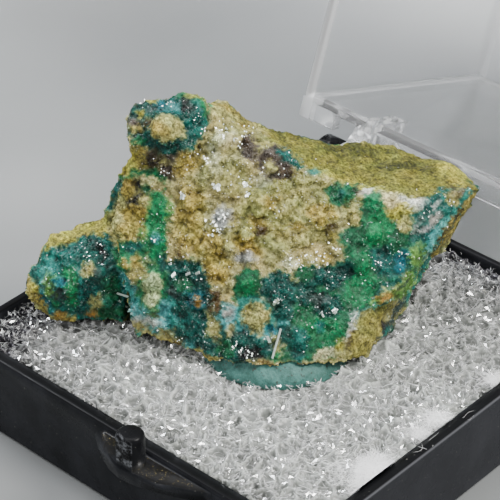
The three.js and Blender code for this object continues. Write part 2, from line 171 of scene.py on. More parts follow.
# How far the rock's outline is drawn over, as pixels of a place and pixels right and down
OUTLINE_SHIFTS = [
    (25, 288, 0, 7), (41, 308, 0, 6), (57, 318, 0, 6), (49, 240, 0, -4), (129, 316, 0, 14),
    (119, 323, 0, -5), (152, 332, 0, -4), (217, 354, 0, 8),
    (228, 350, 0, 11), (250, 358, 0, 4), (273, 355, 0, 11), (300, 355, 0, 10), (322, 355, 0, 7),
    (345, 358, 0, 3), (364, 352, 3, 6), (385, 330, 4, 4), (404, 306, 3, 2), (113, 186, 0, -4),
    (129, 119, -3, -4), (155, 103, 0, -5), (185, 98, 0, -5), (201, 105, 0, -5), (210, 111, 0, -19),
    (219, 110, 0, -6), (258, 116, 0, 7), (273, 120, 0, 9), (289, 125, 0, 8), (305, 128, 0, 8),
    (334, 138, 0, 6), (417, 153, 0, 4), (448, 167, 0, -5), (435, 266, -3, -3),
]
OUTLINE_REACH = 14.0

# Where each colour and crust shows, in pixels of the photograph, painted in the order of ZONES.
# A blob is x, y, half width, half height and turn in degrees. A stroke is a half width and its points.
# An area is its corners.
TOP_FACE = [
    ("olive", "grains", area(
        (184, 90), (228, 102), (292, 128), (337, 141), (378, 139), (408, 145), (442, 153), (476, 174),
        (486, 190), (455, 186), (432, 195), (412, 204), (395, 201), (378, 193), (355, 185), (335, 182),
        (318, 176), (300, 164), (280, 149), (262, 135), (245, 128), (215, 113))),
    ("moss", "grains", blob(352, 149, 34, 7, 4), blob(298, 135, 26, 3, 14), blob(400, 166, 26, 5, -4),
     blob(428, 172, 16, 3, 10)),
    ("pale yellow", "grains", blob(330, 176, 16, 4, 18), stroke(4, (342, 180), (372, 189), (398, 198)),
     blob(455, 172, 20, 9, 25)),
    ("khaki", "grains", blob(222, 112, 20, 6, 18)),
    ("ochre", "grains", blob(226, 108, 14, 2.5, 18)),
    ("khaki", "grains", blob(250, 127, 16, 7, 20)),
    ("deep ochre", "grains", blob(246, 122, 5, 3, 0)),
]
KNOB = [
    ("deep teal", "glitter", area(
        (128, 110), (150, 97), (186, 89), (206, 104), (211, 118), (203, 133), (192, 150), (170, 154),
        (150, 151), (131, 141), (128, 120))),
    ("green", "crust", blob(183, 94, 9, 4)),
    ("pale yellow", "grains", blob(152, 99, 7, 3, -8), blob(196, 99, 9, 3, 20)),
    ("sky", "crust", blob(173, 106, 6, 4, 10)),
    ("emerald", "crust", blob(202, 110, 7, 12, -10)),
    ("teal", "glitter", blob(196, 118, 9, 17, -8)),
    ("black green", "glitter", blob(190, 108, 6, 7, 0), blob(143, 108, 9, 5, -20),
     blob(168, 149, 16, 4, 5)),
    ("blue", "glitter", blob(160, 105, 5, 4)),
    ("black", "glitter", blob(139, 104, 5, 2, -20), blob(185, 104, 4, 5, 10)),
    ("blue grey", "glitter", blob(152, 109, 5, 3, -15)),
    ("bright green", "crust", blob(140, 143, 6, 4)),
    ("purple brown", "crust", blob(135, 123, 7, 5), blob(170, 156, 9, 4)),
    ("ochre", "grains", blob(136, 130, 5, 3)),
    ("pale yellow", "grains", blob(141, 115, 4, 4), blob(138, 160, 12, 10)),
    ("khaki", "grains", area(
        (149, 120), (165, 116), (181, 119), (187, 130), (185, 140), (172, 142), (160, 144),
        (149, 132))),
    ("ochre", "grains", blob(160, 131, 10, 7, 15), blob(143, 155, 6, 8)),
    ("brown", "grains", blob(148, 124, 4, 3)),
    ("dark brown", "crust", blob(152, 160, 7, 10, 20)),
    ("purple brown", "glitter", blob(166, 171, 9, 8, 40)),
    ("ochre", "druse", blob(182, 170, 7, 5)),
    ("pale yellow", "grains", blob(126, 168, 6, 9, 30)),
]
SHOULDER = [
    ("khaki", "grains", blob(130, 195, 16, 22)),
    ("deep ochre", "grains", blob(127, 188, 8, 12)),
    ("teal", "crust", blob(113, 189, 6, 13, 20), blob(104, 208, 8, 8)),
    ("bright green", "velvet", stroke(3.5, (120, 178), (135, 172), (150, 173), (163, 179))),
    ("black", "crust", blob(138, 184, 7, 6)),
    ("black", "glitter", blob(134, 199, 4, 8, 35)),
    ("green", "crust", blob(146, 190, 4, 5)),
    ("deep ochre", "grains", blob(133, 217, 13, 12)),
    ("khaki", "grains", blob(115, 229, 12, 19)),
    ("ochre", "grains", blob(131, 231, 11, 8)),
    ("emerald", "velvet", area(
        (151, 194), (165, 189), (170, 200), (168, 235), (168, 262), (160, 264), (150, 256), (142, 243),
        (147, 215))),
    ("yellow green", "velvet", stroke(1.6, (150, 198), (146, 218), (141, 242)),
     stroke(1.6, (169, 197), (167, 218))),
    ("teal", "velvet", blob(163, 262, 6, 9)),
    ("sky", "druse", blob(155, 239, 5, 4)),
    ("bright green", "velvet",
     area((111, 250), (122, 240), (140, 241), (150, 252), (141, 264), (128, 274), (114, 268))),
    ("teal", "velvet", blob(132, 247, 12, 5)),
    ("ochre", "crust", blob(125, 263, 5, 4), blob(136, 262, 6, 9)),
    ("khaki", "crust", blob(138, 272, 10, 8)),
]
OVAL = [
    ("bright green", "velvet", blob(152, 288, 17, 29)),
    ("sage", "grains", blob(152, 291, 10, 19)),
    ("sky", "crust", stroke(6, (119, 268), (126, 285), (131, 301), (140, 316), (155, 325), (171, 321))),
    # Partly the pale crust of the undercut and partly painted light against its shade
    ("white", "crust", stroke(5, (122, 290), (127, 306), (136, 320))),
    ("sky", "crust", stroke(3, (120, 280), (128, 300), (137, 314))),
    ("turquoise", "crust", stroke(2.5, (122, 280), (130, 296), (138, 305)), blob(136, 334, 4, 4)),
    ("white", "crust", blob(150, 322, 9, 3, 10)),
    ("sky", "crust", blob(166, 312, 6, 10)),
    ("turquoise", "crust", blob(170, 322, 4, 8)),
    ("khaki", "crust", blob(140, 326, 5, 4)),
]
DRUSE = [
    ("straw", "druse", blob(288, 212, 50, 38)),
    ("ochre", "lumps", blob(190, 214, 16, 30), blob(203, 243, 20, 14)),
    ("ochre", "druse", blob(186, 164, 13, 12)),
    ("khaki", "druse", blob(196, 185, 12, 10), blob(229, 137, 21, 15, 20)),
    ("cream", "druse", blob(226, 138, 13, 9, 20), blob(213, 155, 9, 17)),
    ("lilac white", "druse", blob(224, 220, 9, 11)),
    ("khaki", "druse", blob(232, 180, 14, 16)),
    ("tan", "druse", blob(205, 130, 9, 10)),
    ("deep ochre", "lumps", blob(247, 245, 17, 9, 20)),
    ("ochre", "lumps", blob(257, 222, 11, 8), blob(272, 202, 9, 7)),
    ("khaki", "lumps", blob(288, 209, 14, 12)),
    ("ochre", "lumps", blob(322, 215, 15, 12)),
    ("khaki", "lumps", blob(310, 190, 16, 9), blob(300, 236, 20, 13)),
    ("hay", "lumps", blob(333, 238, 9, 8)),
    ("lilac white", "druse", blob(245, 258, 11, 5)),
    ("cream", "druse", blob(262, 180, 9, 8)),
    # Painted shade: brown in the pits of the druse
    ("brown", "druse", blob(263, 233, 6, 7), blob(180, 253, 2.5, 9), blob(209, 251, 4, 7),
     blob(332, 229, 5, 3, -30)),
    ("deep ochre", "druse", blob(300, 226, 12, 2, 10)),
    ("tan", "glitter", blob(316, 252, 27, 9, -6)),
    ("cream", "glitter", blob(290, 264, 11, 8, 30)),
    ("ochre", "crust", blob(328, 257, 7, 5)),
    ("purple brown", "druse", blob(249, 147, 10, 14, 12)),
    ("dark brown", "glitter", blob(247, 142, 5, 6)),
    ("purple brown", "druse", blob(274, 164, 21, 16, 16)),
    ("khaki", "druse", blob(270, 169, 8, 6, 15)),
    ("dark brown", "glitter", blob(286, 174, 9, 6), blob(284, 156, 5, 4)),
    ("teal", "glitter", stroke(4, (280, 154), (292, 160), (301, 168))),
    ("turquoise", "crust", blob(315, 173, 6, 3)),
    ("green", "crust",
     area((321, 190), (333, 183), (346, 181), (358, 185), (356, 196), (346, 208), (332, 202))),
    ("deep teal", "crust", blob(342, 193, 4, 6)),
    ("dark brown", "glitter", blob(357, 190, 5, 3)),
]
RIGHT_FACET = [
    ("teal", "crust", area(
        (413, 204), (432, 194), (456, 186), (484, 189), (468, 214), (448, 246), (430, 268), (412, 290),
        (404, 262), (408, 240), (412, 222))),
    ("lilac white", "crust", blob(428, 222, 14, 8, -38)),
    ("black green", "crust", stroke(4, (437, 195), (431, 208), (422, 224))),
    ("teal", "crust", blob(443, 193, 6, 5, 20)),
    ("khaki", "grains", blob(454, 199, 9, 8, -30)),
    ("white", "crust", blob(437, 205, 3, 3)),
    ("dark brown", "grains", stroke(1.2, (448, 186), (460, 188))),
    ("khaki", "crust", blob(458, 193, 9, 4, -10)),
    ("purple brown", "crust", blob(464, 191, 9, 3, -8)),
    ("brown", "grains", blob(472, 188, 7, 3, 5)),
    ("turquoise", "velvet", stroke(2.5, (468, 191), (452, 216), (436, 236), (426, 264))),
    ("sky", "crust", stroke(2.2, (446, 222), (432, 240), (422, 262))),
    # Partly the crust's tan and olive and partly painted light against the shade of this far edge
    ("ochre", "grains", area(
        (486, 190), (474, 207), (460, 226), (446, 246), (434, 262), (431, 254), (444, 233), (458, 213),
        (470, 196))),
    ("brown", "grains", stroke(1.5, (462, 207), (446, 230), (438, 246))),
    ("olive", "grains", blob(481, 185, 9, 6)),
    ("brown", "grains", blob(487, 189, 5, 3)),
    ("turquoise", "crust", blob(414, 290, 5, 18, 30)),
    ("yellow green", "crust", blob(408, 284, 6, 15, 28)),
    ("cream", "grains", blob(394, 201, 24, 7, 18)),
    ("white", "grains", blob(411, 204, 15, 5, -10)),
    ("pale yellow", "grains", blob(401, 214, 12, 10, 30)),
    ("khaki", "grains", blob(406, 224, 7, 8)),
]
GREEN_BAND = [
    ("green", "velvet", area(
        (364, 187), (378, 198), (388, 214), (397, 232), (408, 232), (414, 226), (408, 252), (408, 268),
        (400, 286), (386, 290), (372, 303), (357, 314), (349, 330), (344, 350), (330, 361), (284, 364),
        (283, 340), (290, 318), (288, 300), (298, 286), (294, 272), (305, 266), (330, 268), (345, 262),
        (346, 246), (336, 238), (340, 232), (352, 230), (360, 218), (361, 204))),
    ("bright green", "velvet", blob(372, 200, 9, 9, 30)),
    ("emerald", "velvet", blob(378, 228, 12, 18, 15)),
    ("bright green", "velvet", blob(362, 283, 13, 26, 8)),
    ("teal", "velvet", blob(386, 262, 12, 17, -30)),
    ("blue", "velvet", blob(402, 263, 6, 13, 12)),
    ("deep teal", "crust", blob(386, 250, 7, 5)),
    ("yellow green", "velvet", blob(417, 255, 8, 14)),
    ("teal", "crust", stroke(2.5, (400, 280), (385, 287), (372, 300))),
    ("yellow green", "grains", stroke(5, (402, 291), (388, 297), (374, 303))),
    ("orange", "grains", blob(384, 297, 8, 4, -8)),
    ("black green", "glitter", blob(325, 277, 22, 12, 6), blob(330, 304, 15, 12),
     blob(307, 293, 13, 12)),
    ("blue grey", "glitter", blob(318, 299, 14, 6, 10)),
    ("blue grey", "crust", blob(286, 291, 6, 9)),
    ("deep teal", "glitter", blob(345, 272, 6, 15, 8)),
    ("green", "velvet", blob(305, 273, 10, 7), blob(333, 294, 5, 4), blob(320, 290, 6, 4)),
    ("bright green", "crust", blob(322, 330, 22, 14, 10)),
    ("turquoise", "crust", blob(321, 327, 5, 4)),
    ("teal", "crust", blob(298, 345, 10, 17)),
    ("cream", "grains", stroke(4, (348, 342), (336, 351), (318, 357))),
    ("pale yellow", "grains", blob(339, 347, 5, 6)),
    ("white", "crust", stroke(1.6, (358, 313), (351, 322), (347, 336))),
    ("turquoise", "crust", stroke(1.8, (388, 301), (370, 307), (358, 314))),
    ("khaki", "lumps", blob(352, 213, 10, 13, 10)),
    ("white", "glitter", blob(366, 190, 5, 2.5, -15)),
]
LOWER_RIGHT = [
    ("hay", "grains", area(
        (398, 302), (386, 320), (374, 342), (364, 358), (350, 364), (345, 353), (350, 335), (358, 318),
        (371, 309))),
    ("moss", "grains", blob(382, 309, 10, 4, -10)),
    ("brown", "grains", stroke(1.5, (352, 328), (347, 346))),
    ("blue grey", "crust", stroke(3.5, (405, 300), (393, 320), (378, 346))),
    ("black", "crust", blob(384, 329, 4, 6, 25)),
    ("turquoise", "crust", stroke(1.5, (392, 328), (378, 346))),
]
CENTRE_DARK = [
    ("black green", "glitter", area(
        (166, 262), (182, 261), (201, 262), (212, 285), (224, 310), (228, 335), (238, 362), (212, 360),
        (190, 348), (176, 338), (168, 310), (164, 290)), blob(278, 287, 18, 15, 10),
     blob(284, 308, 11, 22)),
    ("green", "crust", blob(183, 284, 10, 8)),
    ("blue grey", "crust", blob(175, 293, 7, 7)),
    ("teal", "crust", blob(190, 325, 14, 8), blob(178, 268, 8, 5)),
    ("turquoise", "crust", blob(171, 302, 4, 6)),
    ("khaki", "crust", blob(213, 323, 5, 15, -12)),
    ("deep ochre", "lumps", blob(216, 264, 12, 19, -8)),
    ("ochre", "lumps", blob(222, 273, 8, 12)),
    ("brown", "lumps", blob(217, 296, 6, 7)),
    ("brown", "crust", blob(219, 307, 8, 5)),
    ("blue", "crust", blob(198, 300, 10, 9)),
    ("orange", "lumps", blob(198, 301, 6, 5)),
    ("green", "velvet",
     area((232, 302), (236, 277), (245, 267), (258, 268), (262, 280), (259, 296), (246, 306))),
    ("emerald", "velvet", blob(248, 288, 9, 8)),
    ("turquoise", "crust", blob(250, 299, 9, 3), blob(254, 318, 22, 24)),
    ("sky", "crust", blob(228, 316, 10, 11, 20), blob(252, 331, 14, 7)),
    ("lilac white", "crust", blob(228, 314, 6, 5)),
    ("khaki", "grains", blob(256, 317, 14, 17)),
    ("moss", "grains", blob(254, 308, 6, 4)),
    ("black green", "glitter", blob(243, 347, 22, 13)),
    ("black", "glitter", blob(250, 352, 12, 7)),
    ("green", "crust", blob(224, 346, 9, 9)),
    ("deep teal", "crust", blob(268, 348, 8, 12)),
    ("black green", "crust", blob(284, 333, 7, 14)),
    ("blue", "crust", blob(273, 330, 6, 4)),
    ("sky", "crust", blob(284, 324, 5, 3)),
    ("bright green", "velvet", blob(276, 357, 7, 5)),
    ("ochre", "grains", stroke(2.5, (154, 336), (174, 343), (193, 353), (214, 361)),
     blob(196, 353, 7, 4, 20)),
    ("brown", "grains", blob(178, 342, 5, 3, 20), stroke(2.2, (256, 362), (275, 366), (300, 364))),
    ("sky", "lumps", blob(188, 343, 5, 4)),
    ("teal", "crust", blob(200, 338, 8, 4)),
]
LOBE = [
    ("teal", "crust", area(
        (30, 272), (42, 246), (60, 236), (104, 226), (112, 245), (114, 268), (124, 290), (134, 322),
        (100, 326), (60, 326), (36, 310))),
    # Dark blobs here and in the next lines lie in the crevice beside the lobe: partly dark crust and
    # partly painted shade
    ("black green", "glitter", blob(94, 245, 9, 7)),
    ("deep teal", "crust", blob(103, 268, 11, 17)),
    ("blue grey", "crust", blob(98, 270, 5, 9, 15)),
    ("black green", "glitter", blob(104, 262, 7, 9)),
    ("deep teal", "crust", blob(86, 255, 9, 7)),
    ("teal", "glitter", blob(84, 290, 8, 18)),
    ("emerald", "velvet", blob(70, 285, 9, 22)),
    ("teal", "glitter", blob(66, 255, 14, 10)),
    ("turquoise", "crust", blob(48, 272, 7, 22, 8)),
    ("sky", "crust", blob(46, 282, 4, 12, 8)),
    ("yellow green", "crust", blob(50, 285, 6, 12)),
    ("blue", "crust", blob(58, 283, 6, 4)),
    ("blue grey", "crust", blob(59, 293, 7, 5)),
    ("black", "glitter", blob(100, 252, 4, 8, -20)),
    ("khaki", "lumps", blob(88, 268, 6, 7)),
    ("green", "crust", blob(112, 290, 10, 14), blob(110, 313, 18, 8)),
    ("khaki", "crust", blob(97, 303, 5, 7, 20)),
    ("pale yellow", "grains", area(
        (40, 245), (48, 232), (74, 225), (98, 216), (108, 212), (108, 230), (96, 235), (80, 237),
        (62, 244), (50, 251))),
    ("black", "grains", blob(84, 236, 4, 2), blob(68, 239, 5, 2, -15)),
    ("ochre", "grains", stroke(4.5, (25, 285), (35, 299), (44, 311), (58, 318), (72, 320))),
    ("pale yellow", "grains", blob(33, 286, 6, 5)),
    ("orange", "crust", blob(60, 317, 6, 4), blob(92, 314, 7, 4)),
    ("blue", "crust", stroke(2.2, (42, 292), (48, 303), (52, 313))),
    ("bright green", "crust", blob(54, 304, 5, 5)),
]
ZONES = [*TOP_FACE, *DRUSE, *RIGHT_FACET, *GREEN_BAND, *LOWER_RIGHT, *CENTRE_DARK, *OVAL, *SHOULDER,
         *KNOB, *LOBE]


# Noise

def smooth_step(low, high, value):
    share = np.clip((value - low) / (high - low), 0, 1)
    return share * share * (3 - 2 * share)


def noise_at(points, size):
    """Smooth noise between -1 and 1, with features of about that size."""
    return np.array([noise.noise(Vector(point)) for point in points / size])


def cells_at(points, size):
    """Distance to the nearest of scattered points, as a share of size."""
    return np.array([noise.voronoi(Vector(point))[0][0] for point in points / size])


# The camera and what it sees

def camera_axes():
    turn, down = math.radians(CAMERA_TURN_DEG), math.radians(CAMERA_DOWN_DEG)
    right = np.array([math.cos(turn), math.sin(turn), 0])
    level = math.cos(down)
    forward = np.array([-math.sin(turn) * level, math.cos(turn) * level, -math.sin(down)])
    return right, np.cross(right, forward), forward


CAMERA_RIGHT, CAMERA_UP, CAMERA_FORWARD = camera_axes()


def photo_pixels(points):
    """Where points in millimetres show in the photograph, and how far off they are."""
    away = points - CAMERA_PLACE
    depth = away @ CAMERA_FORWARD
    scale = LENS / SENSOR * IMAGE_PX / depth
    rightward = IMAGE_PX / 2 + away @ CAMERA_RIGHT * scale
    downward = IMAGE_PX / 2 - away @ CAMERA_UP * scale
    return np.stack([rightward, downward], axis=1), depth


def outline_fitted(places):
    """The rock's places after the small shifts that bring its outline onto the photograph's."""
    px, depth = photo_pixels(places)
    shift = np.zeros((len(places), 2))
    weight = np.zeros(len(places))
    for x, y, rightward, downward in OUTLINE_SHIFTS:
        near = np.exp(-((px[:, 0] - x) ** 2 + (px[:, 1] - y) ** 2) / OUTLINE_REACH ** 2)
        shift += near[:, None] * (rightward, downward)
        weight += near
    shift *= (depth * SENSOR / LENS / IMAGE_PX / np.maximum(weight, 1))[:, None]
    return places + shift[:, :1] * CAMERA_RIGHT - shift[:, 1:] * CAMERA_UP


def new_object(name, data):
    added = bpy.data.objects.new(name, data)
    bpy.context.scene.collection.objects.link(added)
    return added


def make_camera():
    data = bpy.data.cameras.new("camera")
    data.lens = LENS
    data.sensor_width = SENSOR
    data.clip_start = 0.01
    camera = new_object("camera", data)
    camera.location = CAMERA_PLACE * MM
    camera.rotation_euler = (math.radians(90 - CAMERA_DOWN_DEG), 0, math.radians(CAMERA_TURN_DEG))
    bpy.context.scene.camera = camera


# Material building blocks

def new_material(name):
    material = bpy.data.materials.new(name)
    material.use_nodes = True
    return material, material.node_tree, material.node_tree.nodes["Principled BSDF"]


def set_inputs(node, inputs):
    """Link or set a node's inputs, by their names or numbers."""
    for key, value in inputs.items():
        if isinstance(value, bpy.types.NodeSocket):
            node.id_data.links.new(value, node.inputs[key])
        else:
            node.inputs[key].default_value = value


def add_node(tree, kind, inputs=None, **settings):
    node = tree.nodes.new(kind)
    for key, value in settings.items():
        setattr(node, key, value)
    set_inputs(node, inputs or {})
    return node


def place_socket(tree):
    return add_node(tree, "ShaderNodeTexCoord").outputs["Object"]


def math_socket(tree, operation, *values):
    return add_node(tree, "ShaderNodeMath", dict(enumerate(values)), operation=operation).outputs[0]


def product_socket(tree, first, *others):
    for other in others:
        first = math_socket(tree, "MULTIPLY", first, other)
    return first


def vector_socket(tree, operation, inputs):
    return add_node(tree, "ShaderNodeVectorMath", inputs, operation=operation).outputs[0]


def noise_socket(tree, size, detail=4.0, roughness=0.6):
    inputs = {"Vector": place_socket(tree), "Scale": 1 / (size * MM), "Detail": detail}
    inputs["Roughness"] = roughness
    return add_node(tree, "ShaderNodeTexNoise", inputs).outputs["Fac"]


def range_socket(tree, value, low, high, to_low, to_high):
    inputs = {"Value": value, "From Min": low, "From Max": high, "To Min": to_low, "To Max": to_high}
    return add_node(tree, "ShaderNodeMapRange", inputs).outputs["Result"]


def cloud_socket(tree, size, low, high, to_low, to_high, detail=4.0, roughness=0.6):
    """Noise spread from low and high to two other values."""
    clouds = noise_socket(tree, size, detail, roughness)
    return range_socket(tree, clouds, low, high, to_low, to_high)


def ramp_socket(tree, value, low, high, to_low=0, to_high=1):
    """A ramp over a distance, whose ends are given in millimetres."""
    return range_socket(tree, value, low * MM, high * MM, to_low, to_high)


def measured_socket(tree, vector, operation="DOT_PRODUCT"):
    """How far each place lies along a direction, or from a place, in metres."""
    inputs = {0: place_socket(tree), 1: tuple(vector)}
    return add_node(tree, "ShaderNodeVectorMath", inputs, operation=operation).outputs["Value"]


def mix_socket(tree, share, first, second, blend="MIX"):
    inputs = {0: share, 6: first, 7: second}
    return add_node(tree, "ShaderNodeMix", inputs, data_type="RGBA", blend_type=blend).outputs[2]


def bump_socket(tree, height, distance, strength=1.0, normal=None):
    """A normal bent by a height. The strength may be a number or a socket."""
    inputs = {"Height": height, "Distance": distance * MM, "Strength": strength}
    if normal is not None:
        inputs["Normal"] = normal
    return add_node(tree, "ShaderNodeBump", inputs).outputs["Normal"]


def tint_socket(tree, name="tint"):
    return add_node(tree, "ShaderNodeAttribute", attribute_name=name).outputs["Color"]


def layered(tree, colour, layers):
    """A colour with others laid over it, each by its own share."""
    for share, tone in layers:
        colour = mix_socket(tree, share, colour, rgba(*tone))
    return colour


def shaded_tint(tree, shade):
    """The colour painted on the vertices, times a shade."""
    grey = add_node(tree, "ShaderNodeCombineColor", {"Red": shade, "Green": shade, "Blue": shade})
    return mix_socket(tree, 1.0, tint_socket(tree), grey.outputs[0], "MULTIPLY")


def faceted_normal(tree, normal, size, strength):
    """A normal that leans another way in each small cell, as on a crust of crystal faces."""
    inputs = {"Vector": place_socket(tree), "Scale": 1 / (size * MM)}
    cells = add_node(tree, "ShaderNodeTexVoronoi", inputs)
    lean = vector_socket(tree, "SUBTRACT", {0: cells.outputs["Color"], 1: (0.5, 0.5, 0.5)})
    scaled = vector_socket(tree, "SCALE", {0: lean, "Scale": strength})
    summed = vector_socket(tree, "ADD", {0: normal, 1: scaled})
    return vector_socket(tree, "NORMALIZE", {0: summed})


# Mesh building blocks

def new_piece(name, points, faces, material, body, smooth=False):
    mesh = bpy.data.meshes.new(name)
    mesh.from_pydata((np.asarray(points) * MM).tolist(), [], [list(face) for face in faces])
    mesh.materials.append(material)
    if smooth:
        mesh.shade_smooth()
    else:
        mesh.shade_flat()
    piece = new_object(name, mesh)
    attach(piece, body)
    return piece


def tint(mesh, colours, name="tint"):
    attribute = mesh.color_attributes.new(name, "FLOAT_COLOR", "POINT")
    values = np.ones((len(mesh.vertices), 4), np.float32)
    values[:, :3] = colours
    attribute.data.foreach_set("color", values.ravel())


def move_vertices(mesh, places):
    mesh.vertices.foreach_set("co", (places * MM).astype(np.float32).ravel())
    mesh.update()


def vertex_values(mesh, name):
    values = np.empty(len(mesh.vertices) * 3, np.float32)
    mesh.vertices.foreach_get(name, values)
    return values.reshape(-1, 3).astype(float)


def cad_copy(node, name):
    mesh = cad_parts[node].data.copy()
    mesh.name = name
    mesh.materials.clear()
    return new_object(name, mesh)


def applied(piece, name):
    """The piece's mesh after its modifiers, which are then dropped."""
    evaluated = piece.evaluated_get(bpy.context.evaluated_depsgraph_get())
    mesh = bpy.data.meshes.new_from_object(evaluated)
    piece.modifiers.clear()
    piece.data = mesh
    mesh.name = name
    return mesh


def unit(vectors):
    return vectors / np.linalg.norm(vectors, axis=-1, keepdims=True)


def smoothed(values, edges, rounds, share=0.5):
    """Each vertex's value drawn towards the mean of its neighbours'."""
    start, end = edges.T
    count = np.bincount(edges.ravel(), minlength=len(values))[:, None]
    values = values.reshape(len(count), -1).copy()
    for _ in range(rounds):
        total = np.zeros_like(values)
        for column in range(values.shape[1]):
            total[:, column] = (np.bincount(start, values[end, column], len(values))
                                + np.bincount(end, values[start, column], len(values)))
        values += share * (total / np.maximum(count, 1) - values)
    return values


def random_turns(rng, count):
    """Random rotation matrices, even over all directions."""
    w, x, y, z = unit(rng.normal(size=(count, 4))).T
    return np.stack([
        np.stack([1 - 2 * (y * y + z * z), 2 * (x * y - z * w), 2 * (x * z + y * w)], axis=1),
        np.stack([2 * (x * y + z * w), 1 - 2 * (x * x + z * z), 2 * (y * z - x * w)], axis=1),
        np.stack([2 * (x * z - y * w), 2 * (y * z + x * w), 1 - 2 * (x * x + y * y)], axis=1),
    ], axis=1)


# Ways that a bright face may lean to catch a lamp
GLINT_AIMS = ((0.37, -0.69, 0.62), (-0.07, -0.41, 0.91), (0.64, -0.19, 0.74))


def lamp_turns(rng, count):
    """Rotation matrices that turn a flat shape towards one of the lamps."""
    aims = np.array(GLINT_AIMS)[rng.integers(0, len(GLINT_AIMS), count)]
    aims += rng.normal(0, 0.07, (count, 3))
    aims = unit(aims)
    side = unit(np.cross(aims, rng.normal(size=aims.shape)))
    return np.stack([side, np.cross(aims, side), aims], axis=2)


def copied_faces(faces, points_each, copies):
    """The faces of many copies of a shape that follow each other."""
    return [[corner + points_each * copy for corner in face] for copy in range(copies) for face in faces]


def joined(first, second):
    """Two shapes as one, each given as its points and faces."""
    shifted = [[corner + len(first[0]) for corner in face] for face in second[1]]
    return np.concatenate([first[0], second[0]]), first[1] + shifted


def repeated(shape_points, shape_faces, turns, sizes, places):
    """The points and faces of many copies of one small shape."""
    points = np.einsum("nij,pj->npi", turns, shape_points) * sizes[:, None, None] + places[:, None, :]
    return points.reshape(-1, 3), copied_faces(shape_faces, len(shape_points), len(places))


def strand_faces(rings):
    last = 3 * rings - 2
    faces = [(0, 1, 2), (0, 2, 3), (0, 3, 1)]
    for first in range(1, last, 3):
        for corner in range(3):
            a, b = first + corner, first + (corner + 1) % 3
            faces.append((a, a + 3, b + 3, b))
    end = last + 3
    return faces + [(last, end, last + 1), (last + 1, end, last + 2), (last + 2, end, last)]


def strands(rng, starts, ways, lengths, radii, bend, rings, towards=None):
    """Thin three-sided strands that taper at both ends and bend along their length."""
    ways = unit(ways)
    side = unit(np.cross(ways, rng.normal(size=ways.shape)) if towards is None else towards)
    other = np.cross(ways, side)
    curl = rng.uniform(-0.5, 0.5, len(starts)) * bend
    columns = [starts]
    for ring in range(rings):
        share = (ring + 0.7) / (rings + 0.4)
        sag = side * (4 * share * (1 - share) * bend)[:, None]
        sag += other * (math.sin(2 * math.pi * share) * curl)[:, None]
        middle = starts + (ways * share + sag) * lengths[:, None]
        for corner in range(3):
            angle = 2 * math.pi * corner / 3
            way = side * math.cos(angle) + other * math.sin(angle)
            columns.append(middle + way * radii[:, None])
    columns.append(starts + ways * lengths[:, None])
    points = np.stack(columns, axis=1)
    return points.reshape(-1, 3), copied_faces(strand_faces(rings), len(columns), len(starts))


# Specimen

def mineral_material():
    material, tree, shader = new_material("mineral_crust")
    crust = add_node(tree, "ShaderNodeSeparateColor", {"Color": tint_socket(tree, "crust")})
    gloss = crust.outputs["Green"]
    mottle = cloud_socket(tree, 0.38, 0.3, 0.7, 0.7, 1.25)
    grain = range_socket(tree, gloss, 0.1, 0.8, 0.6, 0.24)
    fine = cloud_socket(tree, 0.16, 0.36, 0.64, -1.0, 1.0, 3.0)
    fine = math_socket(tree, "MULTIPLY_ADD", fine, grain, 0.92)
    dull = cloud_socket(tree, 0.8, 0.4, 0.56, 0.4, 0, 2.0)
    polish = range_socket(tree, gloss, 0, 1, 0.7, 0.16)
    bumped = bump_socket(tree, noise_socket(tree, 0.16, 5.0, 0.7), 0.08, 0.8)
    lean = range_socket(tree, crust.outputs["Red"], 0, 1, 0.15, 1.25)
    set_inputs(shader, {
        "Base Color": shaded_tint(tree, product_socket(tree, mottle, fine)),
        "Roughness": math_socket(tree, "ADD", polish, dull),
        "Normal": faceted_normal(tree, bumped, 0.13, lean),
        "Specular IOR Level": 0.3,
    })
    return material


def crystal_material(name, transmission, roughness):
    material, tree, shader = new_material(name)
    set_inputs(shader, {
        "Base Color": shaded_tint(tree, cloud_socket(tree, 0.2, 0.3, 0.7, 0.85, 1.1)),
        "Normal": bump_socket(tree, noise_socket(tree, 0.09), 0.01, 0.5),
        "Roughness": roughness,
        "IOR": 1.85,
        "Transmission Weight": transmission,
    })
    return material


def noise_pair(places, shift, size):
    return np.stack([noise_at(places + shift, size), noise_at(places - shift, size)], axis=1)


def draw_towards(values, goal, share):
    """Change an array in place by a share of its way to a goal."""
    values += share * (goal - values)


